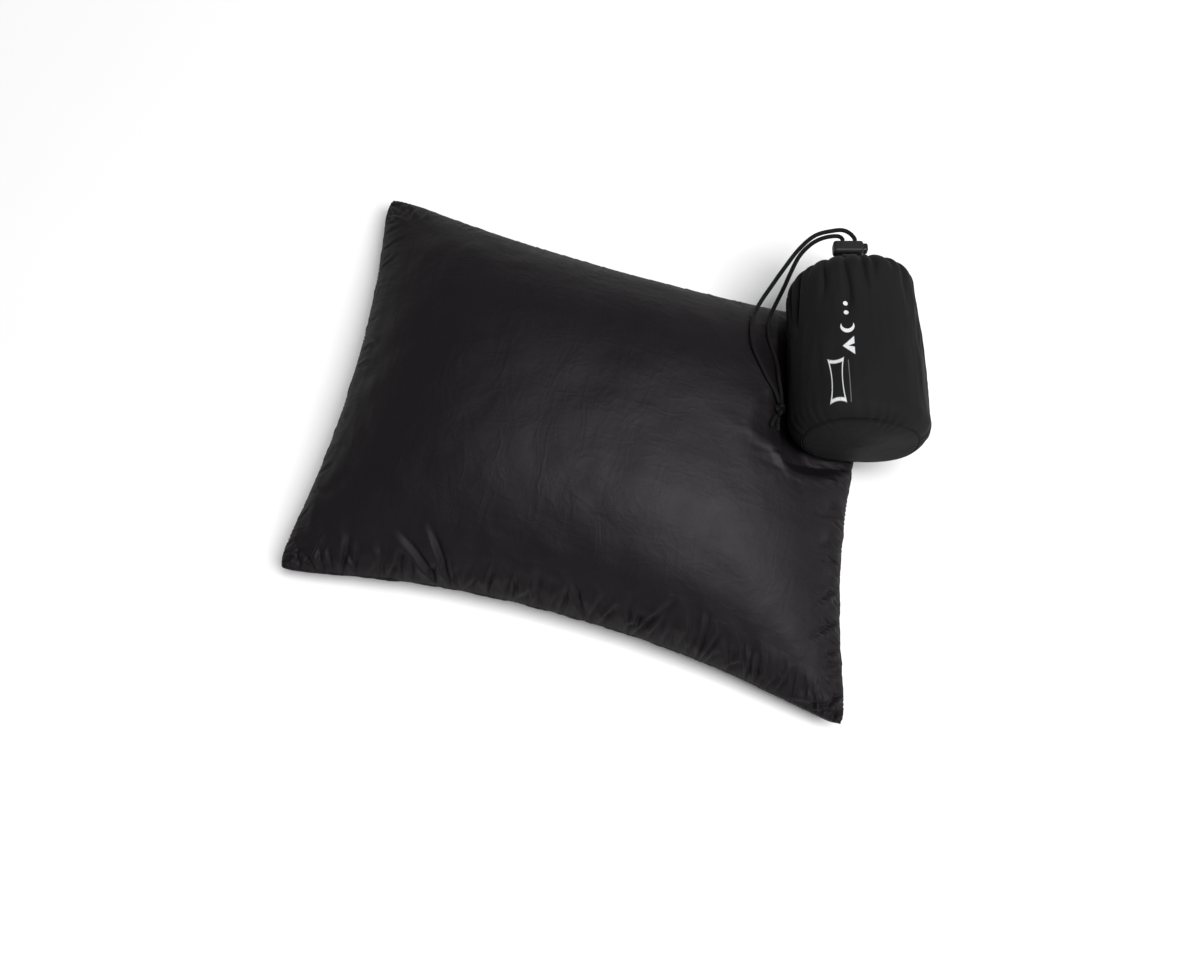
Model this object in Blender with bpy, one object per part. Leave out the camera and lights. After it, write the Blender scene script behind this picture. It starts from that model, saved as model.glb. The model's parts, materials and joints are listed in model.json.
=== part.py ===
"""A compressible camping pillow, filled and laid flat, with its cinched stuff sack resting on one corner.

Run it with: blender --background --python part.py
Lengths are in metres, +Z is up. The origin is the middle of the pillow's flat underside, +X runs along
the pillow's long side towards the sack, and +Y runs from the near edge to the far edge.

The sack's pieces are modelled standing up in the sack's own frame, base down and front towards -Y, and
the empty "sack_frame" lays them on their back, tilted and turned, on the pillow's far right corner.
"""

import math

import bmesh
import bpy
from mathutils import Euler, Matrix, Vector
from mathutils.geometry import interpolate_bezier

MM = 0.001

# The pillow: corner places, how far each side pulls in between its corners, and its heights.
HALF_LENGTH = 184 * MM
HALF_WIDTH = 134 * MM
CORNER_SHIFTS = {  # how far each filled corner is from the rectangle's corner
    "near_left": (-4 * MM, -1.5 * MM),
    "near_right": (7 * MM, -9 * MM),
    "far_right": (-17 * MM, -5 * MM),
    "far_left": (-12 * MM, 7 * MM),
}
PULL_IN = {"near": 22.5 * MM, "far": 17 * MM, "left": 18 * MM, "right": 20.5 * MM}
PULL_IN_POWER = 2.15
CORNER_ROUNDING = 0.02
SEAM_HEIGHT = 28 * MM
SEAM_DROP_AT_CORNERS = 10 * MM
CROWN = 61 * MM  # of the upper panel above the seam
BELLY = 44 * MM  # of the lower panel below the seam, where the floor doesn't cut it off
CROWN_POWER, CROWN_FULLNESS = 2.6, 0.66
BLEND = 9 * MM  # how softly the floor and the sack round the pillow off
GRID = (21, 17)  # faces along and across each panel
GRID_CROWDING = 0.3  # 0 is evenly spaced, more crowds the grid towards the seam

# Cloth walls, clearances between pieces, and the bead of the turned seam.
WALL = 1.2 * MM
GAP = 0.4 * MM
BEAD_RADIUS = 0.8 * MM
SEAM_INSET = 2 * BEAD_RADIUS + 2.5 * GAP  # from the outline to the panels' own edges

# The stuff sack: a round-bottomed tube, gathered to a neck.
SACK_BASE = Vector((154.4, 26, 69)) * MM
SACK_TURN = math.radians(14.5)
SACK_TILT = math.radians(4)  # neck end down
BASE_RADIUS, BASE_CORNER = 43.5 * MM, 12 * MM
SHOULDER_RADIUS, SHOULDER_ROUND, SHOULDER_HEIGHT = 40.5 * MM, 19 * MM, 99.5 * MM
SHOULDER_SWEEP = math.radians(74)
NECK_HEIGHT, NECK_RADIUS = 121.5 * MM, 11 * MM
FRONT_DEPTH, BACK_DEPTH = 0.98, 0.90  # the section's depth over its half width, before and behind
SECTION_POWER = 2.3  # 2 is an ellipse, and more is squarer
BASE_SLANT, SHOULDER_SLANT = -0.07, 0.07  # the right side is longer than the left one, at both ends
BASE_BULGE = 3 * MM
SACK_WALL = 1 * MM
SACK_SEGMENTS = 26
SACK_CLEARANCE = 1.4 * MM  # between the pillow's skin and the sack that lies on it
SACK_BERTH = 5 * MM  # how much further out than the sack the pillow's hollow reaches
HOLLOW_SLOPE = 2.0

# The drawcord, its channel round the neck, and the knot that joins its ends.
CORD_RADIUS = 1.25 * MM
HEM_HEIGHT, HEM_RING_RADIUS = 124.7 * MM, 10.4 * MM
HEM_OUTER, HEM_INNER = 2.6 * MM, 1.7 * MM
CORD_HOLE_X, CORD_HOLE_Y = 4 * MM, -8.5 * MM
CORD_START_HEIGHT = 129.5 * MM
CORD_STRAIGHT_TO = 139.4 * MM  # the lock slides along this straight stretch
KNOT = Vector((101.5, 35.5, 67.3)) * MM
KNOT_RADII = Vector((3.6, 4.6, 3.5)) * MM
ROUTES = {  # after the straight stretch, to the knot, in millimetres
    "left": [
        (112.2, 162, 67.3), (104, 158.8, 67.2), (97, 153.8, 64.8), (91.3, 145.3, 61.3), (88.5, 135.3, 57.5),
        (86.3, 124, 53.5), (83.8, 113, 50.3), (82, 100.5, 52.2), (84, 86, 59.2), (89.5, 75, 60.5),
        (94, 65, 63.2), (96.5, 55.5, 67.5), (99.5, 48, 67.2), (102, 40.6, 65.4),
    ],
    "right": [
        (120.4, 165, 67.8), (115.3, 166.6, 68), (109, 165, 67.8), (98, 159.5, 66), (90, 149.5, 62),
        (83.5, 135.5, 58), (77.5, 121, 53.5), (73, 108, 52), (71.5, 92.5, 61.2), (75.5, 72.5, 71.5),
        (84.5, 58.5, 73.3), (90, 51.5, 73), (96, 45.3, 71.4), (99.8, 40.2, 68.2),
    ],
}
TAILS = {
    "left": [(101.9, 30.4, 66.1), (102.4, 27.5, 64.6), (103.2, 24, 63.6)],
    "right": [(100, 30.3, 68.4), (99.2, 27, 69.6), (98.6, 23.5, 70.8)],
}
ROUTE_SPACING = 5.5 * MM

# The cord lock: a barrel across the neck, with a sprung plunger in its bore.
LOCK_BOTTOM, LOCK_THICK, LOCK_DEEP = 128.3 * MM, 8.4 * MM, 9 * MM
BARREL_LEFT, BARREL_RIGHT = -10.75 * MM, 8.8 * MM
BARREL_BORE_LEFT = -9.85 * MM
BARREL_WALL = 1.1 * MM
PLUNGER_LEFT, PLUNGER_RIGHT = -6.35 * MM, 11.8 * MM
PLUNGER_TRAVEL = 2.5 * MM
PLUNGER_CLEARANCE = 0.3 * MM
CORD_HOLE_RADIUS = 1.65 * MM
SPRING_RADIUS, SPRING_WIRE, SPRING_TURNS = 1.7 * MM, 0.2 * MM, 3.5


def clear_scene():
    for old in list(bpy.data.objects):
        bpy.data.objects.remove(old, do_unlink=True)


def material(name, colour, roughness, metallic=0.0):
    made = bpy.data.materials.new(name)
    made.use_nodes = True
    shader = made.node_tree.nodes["Principled BSDF"]
    shader.inputs["Base Color"].default_value = (*colour, 1)
    shader.inputs["Roughness"].default_value = roughness
    shader.inputs["Metallic"].default_value = metallic
    return made


def place(name, data, finish, parent=None):
    """Adds an object to the scene, in its parent's frame."""
    made = bpy.data.objects.new(name, data)
    bpy.context.scene.collection.objects.link(made)
    data.materials.append(finish)
    made.parent = parent
    return made


def from_bmesh(name, shape, finish, parent=None):
    """Turns a bmesh into an object with outward, smooth-shaded faces."""
    bmesh.ops.remove_doubles(shape, verts=shape.verts, dist=1e-6)
    bmesh.ops.recalc_face_normals(shape, faces=shape.faces)
    if shape.calc_volume(signed=True) < 0:
        bmesh.ops.reverse_faces(shape, faces=shape.faces)
    mesh = bpy.data.meshes.new(name)
    shape.to_mesh(mesh)
    shape.free()
    mesh.shade_smooth()
    mesh.set_sharp_from_angle(angle=math.radians(40))
    return place(name, mesh, finish, parent)


def softened(high, low, reach):
    """The lower of two heights, rounded where they cross. It is exact where they differ by over reach."""
    near = max(reach - abs(high - low), 0) / reach
    return min(high, low) - near * near * reach / 4


# The sack's shape, which the pillow's far right corner gives way to.


def sack_radius(height):
    """The sack's half width at a height above its base, without its wall taken off."""
    if height < BASE_CORNER:
        return BASE_RADIUS - BASE_CORNER + math.sqrt(max(BASE_CORNER**2 - (BASE_CORNER - height) ** 2, 0))
    if height < SHOULDER_HEIGHT:
        share = (height - BASE_CORNER) / (SHOULDER_HEIGHT - BASE_CORNER)
        return BASE_RADIUS + share * (SHOULDER_RADIUS - BASE_RADIUS)
    sweep = math.asin(min((height - SHOULDER_HEIGHT) / SHOULDER_ROUND, math.sin(SHOULDER_SWEEP)))
    return SHOULDER_RADIUS - SHOULDER_ROUND * (1 - math.cos(sweep))


def sack_section(point):
    """Moves a point of a round, straight sack to the real one's squarer section and askew ends."""
    across = point.xy.length
    if across < 1e-9:
        return point
    direction = point.xy / across
    squarer = (abs(direction.x) ** SECTION_POWER + abs(direction.y) ** SECTION_POWER) ** (-1 / SECTION_POWER)
    share = min(across / SHOULDER_RADIUS, 1)
    depth = FRONT_DEPTH if point.y < 0 else BACK_DEPTH
    x = point.x * (1 + (squarer - 1) * share)
    y = point.y * (1 + (squarer - 1) * share) * (1 + (depth - 1) * share)
    way_up = min(max(point.z / SHOULDER_HEIGHT, 0), 1)
    slant = BASE_SLANT * (1 - way_up) + SHOULDER_SLANT * way_up * share**2
    return Vector((x, y, point.z + slant * x))


def sack_frame():
    """The matrix that lays the upright sack down on its back."""
    turn = Euler((-math.pi / 2 - SACK_TILT, 0, SACK_TURN)).to_matrix().to_4x4()
    return Matrix.Translation(SACK_BASE) @ turn


def room_under_sack(x, y):
    """The height of the lying sack's underside over a point of the floor. It climbs away past its sides."""
    frame = sack_frame()
    along, across = frame.col[2].xyz, frame.col[0].xyz
    offset = Vector((x, y, SACK_BASE.z)) - SACK_BASE
    height, side = offset.dot(along) / math.cos(SACK_TILT) ** 2, offset.dot(across)
    within = min(max(height, BASE_CORNER), NECK_HEIGHT)
    depth = BACK_DEPTH * sack_radius(within)
    berth = depth / BACK_DEPTH + SACK_BERTH
    hollow = depth * max(1 - abs(side / berth) ** SECTION_POWER, 0) ** (1 / SECTION_POWER)
    past = max(abs(side) - berth, 0) + max(abs(height - within) - BASE_CORNER - SACK_BERTH, 0)
    axis_height = SACK_BASE.z - within * math.sin(SACK_TILT)
    return axis_height - hollow + HOLLOW_SLOPE * past - SACK_CLEARANCE


# The pillow's shape. s and t run from -1 to 1 along and across it.


def corner(side_x, side_y):
    names = ("far" if side_y > 0 else "near") + ("_right" if side_x > 0 else "_left")
    shift = CORNER_SHIFTS[names]
    return Vector((side_x * HALF_LENGTH + shift[0], side_y * HALF_WIDTH + shift[1]))


def side_point(start, end, pull, u):
    """A point on a side from start to end, for u from -1 to 1, pulled in towards the pillow's middle."""
    chord = end - start
    inward = Vector((-chord.y, chord.x)).normalized()
    return (start + end) / 2 + chord * u / 2 + inward * pull * (1 - abs(u) ** PULL_IN_POWER)


def plan(s, t):
    """The point of the outline's four-sided patch at s, t, seen from above."""
    shrink = 1 - CORNER_ROUNDING * abs(s * t) ** 12
    s, t = s * shrink, t * shrink
    near_left, near_right, far_right, far_left = corner(-1, -1), corner(1, -1), corner(1, 1), corner(-1, 1)
    near = side_point(near_left, near_right, PULL_IN["near"], s)
    far = side_point(far_right, far_left, PULL_IN["far"], -s)
    left = side_point(far_left, near_left, PULL_IN["left"], -t)
    right = side_point(near_right, far_right, PULL_IN["right"], t)
    a, b = (1 + s) / 2, (1 + t) / 2
    flat = (1 - b) * ((1 - a) * near_left + a * near_right) + b * ((1 - a) * far_left + a * far_right)
    return (1 - b) * near + b * far + (1 - a) * left + a * right - flat


def fullness(s, t):
    """How much of the crown's height the pillow has at s, t: 1 in the middle and 0 along the seam."""
    share = max(1 - abs(s) ** CROWN_POWER, 0) * max(1 - abs(t) ** CROWN_POWER, 0)
    return share**CROWN_FULLNESS


def free_seam_height(s, t):
    """The seam's height where nothing lies on the pillow."""
    return SEAM_HEIGHT - SEAM_DROP_AT_CORNERS * (s * t) ** 2


def seam_height(s, t):
    return softened(free_seam_height(s, t), room_under_sack(*plan(s, t)) - 4 * WALL, BLEND)


def panel_height(s, t, side):
    """The outer height of the upper (side 1) or lower (side -1) panel."""
    seam, room = free_seam_height(s, t), room_under_sack(*plan(s, t))
    if side > 0:
        return softened(seam + CROWN * fullness(s, t), room, BLEND)
    above_floor = -softened(BELLY * fullness(s, t) - seam, 0, BLEND)
    return softened(above_floor, room - 8 * WALL, BLEND)


def crowded(u):
    return u * (1 + GRID_CROWDING * (1 - u * u))


def panel_grid(shape, side, depth, rim_lift=0):
    """A grid of faces in a bmesh, over one face of the pillow, at a depth below its outer skin.

    Its outermost row follows the outline, level with the seam but for rim_lift.
    """
    inset = SEAM_INSET + 1.4 * depth
    made = bmesh.ops.create_grid(shape, x_segments=GRID[0], y_segments=GRID[1], size=1)["verts"]
    faces = {face for vert in made for face in vert.link_faces}
    rim = {vert for vert in made if vert.is_boundary}
    for vert in made:
        s, t = crowded(vert.co.x), crowded(vert.co.y)
        where = plan(s * (1 - inset / HALF_LENGTH), t * (1 - inset / HALF_WIDTH))
        height = seam_height(s, t) + rim_lift if vert in rim else panel_height(s, t, side)
        vert.co = (*where, height)
    if side < 0:
        bmesh.ops.reverse_faces(shape, faces=list(faces))
    for face in faces:
        face.normal_update()
    moves = {}
    for vert in made:
        if vert not in rim:
            vert.normal_update()
            moves[vert] = vert.normal * depth
    for vert, move in moves.items():
        vert.co -= move
    # Each skin's faces are split the same way, so that skins a clearance apart don't cross.
    bmesh.ops.triangulate(shape, faces=list(faces), quad_method="FIXED")
    return made


def boundary_edges(verts):
    return list({edge for vert in verts for edge in vert.link_edges if edge.is_boundary})


def skins(name, sides_and_depths, rim_lifts, finish):
    """A closed body between two skins, each given by its side and depth, joined round their rims."""
    shape = bmesh.new()
    edges = []
    for (side, depth), rim_lift in zip(sides_and_depths, rim_lifts):
        edges += boundary_edges(panel_grid(shape, side, depth, rim_lift))
    bmesh.ops.bridge_loops(shape, edges=edges)
    return from_bmesh(name, shape, finish)


def shell_panel(name, side, finish):
    """One cloth panel of the pillow, a wall's thickness deep."""
    return skins(name, [(side, 0), (side, WALL)], [side * 1.5 * GAP] * 2, finish)


def fill_core(finish):
    """The fibre fill, a clearance inside both panels."""
    depth = WALL + GAP
    return skins("fill_core", [(1, depth), (-1, depth)], [GAP / 2, -GAP / 2], finish)


def edge_seam(finish):
    """The turned seam's bead, a closed ring round the pillow's outline."""
    inset = 1 - BEAD_RADIUS / HALF_WIDTH
    per_side = [crowded(-1 + 2 * i / 18) for i in range(18)]
    loop = [(u, -1) for u in per_side] + [(1, u) for u in per_side]
    loop += [(-u, 1) for u in per_side] + [(-1, -u) for u in per_side]
    points = [(*plan(s * inset, t * inset), seam_height(s, t)) for s, t in loop]
    return cord_tube("edge_seam", points, BEAD_RADIUS, finish, closed=True, resolution=1)


# Cords and turned shapes.


def smooth_route(points, spacing):
    """Points about spacing apart on a smooth curve through the given ones."""
    points = [Vector(p) for p in points]
    ends = [2 * points[0] - points[1], *points, 2 * points[-1] - points[-2]]
    fine = []
    for before, start, end, after in zip(ends, ends[1:], ends[2:], ends[3:]):
        fine += interpolate_bezier(start, start + (end - before) / 6, end - (after - start) / 6, end, 24)[:-1]
    fine.append(points[-1])
    length = sum((b - a).length for a, b in zip(fine, fine[1:]))
    count = max(2, round(length / spacing))
    spaced, travelled = [fine[0]], 0.0
    for a, b in zip(fine, fine[1:]):
        step = (b - a).length
        while len(spaced) < count and travelled + step >= length * len(spaced) / count:
            spaced.append(a.lerp(b, (length * len(spaced) / count - travelled) / step))
        travelled += step
    return [*spaced, fine[-1]] if (spaced[-1] - fine[-1]).length > spacing / 4 else spaced


def cord_tube(name, points, radius, finish, parent=None, closed=False, resolution=2):
    """A round tube through the points, with filled ends."""
    curve = bpy.data.curves.new(name, "CURVE")
    curve.dimensions = "3D"
    curve.bevel_depth = radius
    curve.bevel_resolution = resolution
    curve.use_fill_caps = not closed
    spline = curve.splines.new("POLY")
    spline.points.add(len(points) - 1)
    for point, where in zip(spline.points, points):
        point.co = (*where, 1)
    spline.use_cyclic_u = closed
    return place(name, curve, finish, parent)


def turned(name, profile, finish, parent, segments=SACK_SEGMENTS, closed=True):
    """A profile of (radius, height) points spun about Z, then given the sack's oval section."""
    shape = bmesh.new()
    verts = [shape.verts.new((radius, 0, height)) for radius, height in profile]
    edges = [shape.edges.new(pair) for pair in zip(verts, verts[1:])]
    if closed:
        edges.append(shape.edges.new((verts[-1], verts[0])))
    bmesh.ops.spin(
        shape, geom=verts + edges, cent=(0, 0, 0), axis=(0, 0, 1), angle=2 * math.pi, steps=segments,
        use_merge=True,
    )
    for vert in shape.verts:
        vert.co = sack_section(vert.co)
    return from_bmesh(name, shape, finish, parent)


def arc(centre, radius, start, end, steps):
    """Points of (radius, height) on an arc. Angle 0 points away from the axis and 90 degrees up."""
    angles = [start + (end - start) * i / steps for i in range(steps + 1)]
    return [(centre[0] + radius * math.cos(a), centre[1] + radius * math.sin(a)) for a in angles]


def sack_skin(inset, low_angle):
    """The sack's outline from its base corner up to its neck, moved in by inset."""
    base_centre = (BASE_RADIUS - BASE_CORNER, BASE_CORNER)
    shoulder_centre = (SHOULDER_RADIUS - SHOULDER_ROUND, SHOULDER_HEIGHT)
    low = arc(base_centre, BASE_CORNER - inset, low_angle, 0, 4)
    high = arc(shoulder_centre, SHOULDER_ROUND - inset, 0, SHOULDER_SWEEP, 6)
    middle = [
        (low[-1][0] + (high[0][0] - low[-1][0]) * share, low[-1][1] + (high[0][1] - low[-1][1]) * share)
        for share in (0.33, 0.67)
    ]
    return [*low, *middle, *high]


def sack_wall(finish, parent):
    seam = math.radians(-45)
    outer = [*sack_skin(0, seam), (NECK_RADIUS, NECK_HEIGHT)]
    inner = [*sack_skin(SACK_WALL, seam), (NECK_RADIUS - SACK_WALL, NECK_HEIGHT - 0.6 * SACK_WALL)]
    return turned("sack_wall", outer + inner[::-1], finish, parent)


def sack_base(finish, parent):
    """The round base panel, from its middle out to the seam on the sack's bottom corner."""
    centre = (BASE_RADIUS - BASE_CORNER, BASE_CORNER)
    edge = math.radians(-45) - GAP / BASE_CORNER
    outer = arc(centre, BASE_CORNER, edge, -math.pi / 2, 3)
    inner = arc(centre, BASE_CORNER - SACK_WALL, edge, -math.pi / 2, 3)
    middle = (0, -BASE_BULGE)
    profile = [middle, *outer[::-1], *inner, (0, SACK_WALL - BASE_BULGE)]
    return turned("sack_base", profile, finish, parent, closed=False)


def packed_pillow(finish, parent):
    """What fills the sack: a second pillow of the same kind, pressed into it."""
    inset = SACK_WALL + GAP
    skin = sack_skin(inset, -math.pi / 2)
    profile = [(0, inset - BASE_BULGE), *skin, (6 * MM, NECK_HEIGHT - 9 * MM), (0, NECK_HEIGHT - 8 * MM)]
    return turned("packed_pillow", profile, finish, parent, closed=False)


def cutter(name, shape, parent):
    """A helper that a Boolean takes away. It isn't a piece of the object."""
    bmesh.ops.recalc_face_normals(shape, faces=shape.faces)
    mesh = bpy.data.meshes.new(name)
    shape.to_mesh(mesh)
    shape.free()
    made = bpy.data.objects.new(name, mesh)
    bpy.context.scene.collection.objects.link(made)
    made.parent = parent
    made.hide_render = True
    made.display_type = "WIRE"
    return made


def cut_away(piece, *cutters):
    for other in cutters:
        modifier = piece.modifiers.new("cut_" + other.name, "BOOLEAN")
        modifier.operation = "DIFFERENCE"
        modifier.solver = "EXACT"
        modifier.object = other


def ring_shape(ring_radius, tube_radius, height, around, section):
    """A torus about Z in a bmesh."""
    shape = bmesh.new()
    profile = arc((ring_radius, height), tube_radius, 0, 2 * math.pi, section)[:-1]
    verts = [shape.verts.new((radius, 0, z)) for radius, z in profile]
    edges = [shape.edges.new((verts[i - 1], verts[i])) for i in range(section)]
    bmesh.ops.spin(
        shape, geom=verts + edges, cent=(0, 0, 0), axis=(0, 0, 1), angle=2 * math.pi, steps=around,
        use_merge=True,
    )
    bmesh.ops.remove_doubles(shape, verts=shape.verts, dist=1e-6)
    return shape


def box_shape(low, high, bevel=0.0, segments=2):
    """A box between two corners in a bmesh, with its edges rounded."""
    shape = bmesh.new()
    bmesh.ops.create_cube(shape, size=1)
    low, high = Vector(low), Vector(high)
    bmesh.ops.scale(shape, vec=high - low, verts=shape.verts)
    bmesh.ops.translate(shape, vec=(low + high) / 2, verts=shape.verts)
    if bevel:
        bmesh.ops.bevel(
            shape, geom=list(shape.edges), offset=bevel, segments=segments, profile=0.5, affect="EDGES",
        )
    return shape


def rod_shape(centre, radius, half_length, sides=16):
    """A rod along Z in a bmesh."""
    shape = bmesh.new()
    bmesh.ops.create_cone(
        shape, cap_ends=True, segments=sides, radius1=radius, radius2=radius, depth=2 * half_length,
        matrix=Matrix.Translation(centre),
    )
    return shape


def sack_hem(finish, parent):
    """The drawcord's channel: a hollow ring round the neck, with a buttonhole in front for the cord."""
    hem = from_bmesh("sack_hem", ring_shape(HEM_RING_RADIUS, HEM_OUTER, HEM_HEIGHT, 28, 10), finish, parent)
    hollow = cutter("hem_hollow", ring_shape(HEM_RING_RADIUS, HEM_INNER, HEM_HEIGHT, 28, 10), parent)
    reach = CORD_HOLE_X + CORD_RADIUS + 2.2 * MM
    slot_low = (-reach, CORD_HOLE_Y - 3.6 * MM, HEM_HEIGHT - 0.4 * MM)
    slot_high = (reach, CORD_HOLE_Y + 2.1 * MM, HEM_HEIGHT + 2 * HEM_OUTER)
    buttonhole = cutter("hem_buttonhole", box_shape(slot_low, slot_high), parent)
    cut_away(hem, hollow, buttonhole)
    return hem


def drawcord_loop(finish, parent):
    """The cord inside the channel, with both ends turned up through the buttonhole."""
    front = -math.pi / 2
    spread = math.radians(38)
    steps = 22
    ring = []
    for i in range(steps + 1):
        angle = front + spread + (2 * math.pi - 2 * spread) * i / steps
        ring.append((HEM_RING_RADIUS * math.cos(angle), HEM_RING_RADIUS * math.sin(angle), HEM_HEIGHT))
    rise = [
        (CORD_HOLE_X, CORD_HOLE_Y, CORD_START_HEIGHT - GAP),
        (CORD_HOLE_X, CORD_HOLE_Y, CORD_START_HEIGHT - 1.4 * MM),
        (CORD_HOLE_X + 0.5 * MM, CORD_HOLE_Y - 0.25 * MM, CORD_START_HEIGHT - 2.9 * MM),
    ]
    fall = [(-x, y, z) for x, y, z in reversed(rise)]
    return cord_tube("drawcord_loop", rise + ring + fall, CORD_RADIUS, finish, parent)


def drawcord_strand(side, finish):
    """A free strand, from under the lock, straight through it, then over the pillow's edge to the knot."""
    hole_x = CORD_HOLE_X if side == "right" else -CORD_HOLE_X
    frame = sack_frame()
    rise = CORD_STRAIGHT_TO - CORD_START_HEIGHT
    straight = [
        frame @ Vector((hole_x, CORD_HOLE_Y, CORD_START_HEIGHT + rise * share))
        for share in (0, 0.25, 0.5, 0.75, 1)
    ]
    free = smooth_route([straight[-2], straight[-1], *[Vector(p) * MM for p in ROUTES[side]]], ROUTE_SPACING)
    past_straight = [p for p in free if (p - straight[-2]).length > (straight[-1] - straight[-2]).length]
    return cord_tube("drawcord_strand_" + side, straight + past_straight, CORD_RADIUS, finish)


def drawcord_knot(finish):
    """The overhand knot that joins the two strands, as one rounded body."""
    shape = bmesh.new()
    bmesh.ops.create_uvsphere(shape, u_segments=14, v_segments=10, radius=1)
    bmesh.ops.scale(shape, vec=KNOT_RADII, verts=shape.verts)
    knot = from_bmesh("drawcord_knot", shape, finish)
    knot.location = KNOT
    return knot


def drawcord_tail(side, finish):
    points = smooth_route([Vector(p) * MM for p in TAILS[side]], 3 * MM)
    return cord_tube("drawcord_tail_" + side, points, CORD_RADIUS, finish)


def cord_holes(name, centre_z, parent):
    """Two rods where the strands pass, to cut the barrel with."""
    holes = []
    for side, x in (("left", -CORD_HOLE_X), ("right", CORD_HOLE_X)):
        shape = rod_shape((x, CORD_HOLE_Y, centre_z), CORD_HOLE_RADIUS, LOCK_THICK)
        holes.append(cutter(name + "_" + side, shape, parent))
    return holes


def lock_barrel(finish, parent):
    """The lock's body: a rounded block with a blind bore for the plunger and two cord holes across it."""
    middle = LOCK_BOTTOM + LOCK_THICK / 2
    low = (BARREL_LEFT, CORD_HOLE_Y - LOCK_DEEP / 2, LOCK_BOTTOM)
    high = (BARREL_RIGHT, CORD_HOLE_Y + LOCK_DEEP / 2, LOCK_BOTTOM + LOCK_THICK)
    barrel = from_bmesh("lock_barrel", box_shape(low, high, bevel=1.9 * MM, segments=3), finish, parent)
    half_bore_y, half_bore_z = LOCK_DEEP / 2 - BARREL_WALL, LOCK_THICK / 2 - BARREL_WALL
    bore = box_shape(
        (BARREL_BORE_LEFT, CORD_HOLE_Y - half_bore_y, middle - half_bore_z),
        (BARREL_RIGHT + 5 * MM, CORD_HOLE_Y + half_bore_y, middle + half_bore_z), bevel=1.4 * MM,
    )
    cut_away(barrel, cutter("lock_bore", bore, parent), *cord_holes("lock_cord_hole", middle, parent))
    return barrel


def lock_plunger(finish, parent):
    """The plunger, with a slot for each strand that is longer than the cord by the plunger's travel."""
    middle = LOCK_BOTTOM + LOCK_THICK / 2
    half_y = LOCK_DEEP / 2 - BARREL_WALL - PLUNGER_CLEARANCE
    half_z = LOCK_THICK / 2 - BARREL_WALL - PLUNGER_CLEARANCE
    low = (PLUNGER_LEFT, CORD_HOLE_Y - half_y, middle - half_z)
    high = (PLUNGER_RIGHT, CORD_HOLE_Y + half_y, middle + half_z)
    plunger = from_bmesh("lock_plunger", box_shape(low, high, bevel=1.2 * MM), finish, parent)
    slots = []
    for side, x in (("left", -CORD_HOLE_X), ("right", CORD_HOLE_X)):
        slot = box_shape(
            (x - CORD_HOLE_RADIUS + 0.1 * MM, CORD_HOLE_Y - CORD_HOLE_RADIUS, middle - LOCK_THICK),
            (x + CORD_HOLE_RADIUS + PLUNGER_TRAVEL, CORD_HOLE_Y + CORD_HOLE_RADIUS, middle + LOCK_THICK),
        )
        slots.append(cutter("plunger_slot_" + side, slot, parent))
    cut_away(plunger, *slots)
    return plunger


def lock_spring(finish, parent):
    """A small compression spring between the bore's blind end and the plunger."""
    start = BARREL_BORE_LEFT + SPRING_WIRE + GAP / 2
    end = PLUNGER_LEFT - SPRING_WIRE - GAP / 2
    middle = LOCK_BOTTOM + LOCK_THICK / 2
    steps = round(10 * SPRING_TURNS)
    points = []
    for i in range(steps + 1):
        angle = 2 * math.pi * SPRING_TURNS * i / steps
        across, up = SPRING_RADIUS * math.cos(angle), SPRING_RADIUS * math.sin(angle)
        points.append((start + (end - start) * i / steps, CORD_HOLE_Y + across, middle + up))
    return cord_tube("lock_spring", points, SPRING_WIRE, finish, parent, resolution=1)


def main():
    clear_scene()
    shell_nylon = material("shell_nylon", (0.030, 0.028, 0.031), 0.42)
    seam_thread = material("seam_thread", (0.020, 0.019, 0.021), 0.6)
    fibre = material("fibre_fill", (0.78, 0.77, 0.74), 0.95)
    sack_nylon = material("sack_nylon", (0.016, 0.016, 0.017), 0.55)
    braid = material("cord_braid", (0.012, 0.012, 0.013), 0.7)
    plastic = material("lock_plastic", (0.035, 0.036, 0.038), 0.45)
    steel = material("spring_steel", (0.55, 0.55, 0.56), 0.3, 1.0)

    shell_panel("shell_top_panel", 1, shell_nylon)
    shell_panel("shell_bottom_panel", -1, shell_nylon)
    fill_core(fibre)
    edge_seam(seam_thread)

    frame = bpy.data.objects.new("sack_frame", None)
    bpy.context.scene.collection.objects.link(frame)
    frame.matrix_world = sack_frame()
    sack_wall(sack_nylon, frame)
    sack_base(sack_nylon, frame)
    packed_pillow(shell_nylon, frame)
    sack_hem(sack_nylon, frame)
    drawcord_loop(braid, frame)
    for side in ("left", "right"):
        drawcord_strand(side, braid)
        drawcord_tail(side, braid)
    drawcord_knot(braid)
    lock_barrel(plastic, frame)
    lock_plunger(plastic, frame)
    lock_spring(steel, frame)


main()
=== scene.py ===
# %% [markdown]
# # A camp pillow and its stuff sack
#
# A compressible pillow of satin-faced nylon lies on the floor, full of fibre and puckered along its
# turned seam. A small stuff sack with a second pillow packed in it rests on its far right corner. The
# sack's mouth is drawn shut by a cord that runs through a sprung cord lock to a knot.
#
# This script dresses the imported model: it makes the cloth, the cords, the stitches and the finishes.

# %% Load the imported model
import json
import math

import bmesh
import bpy
import numpy as np
from mathutils import Euler, Matrix, Vector, noise
from mathutils.geometry import interpolate_bezier

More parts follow.
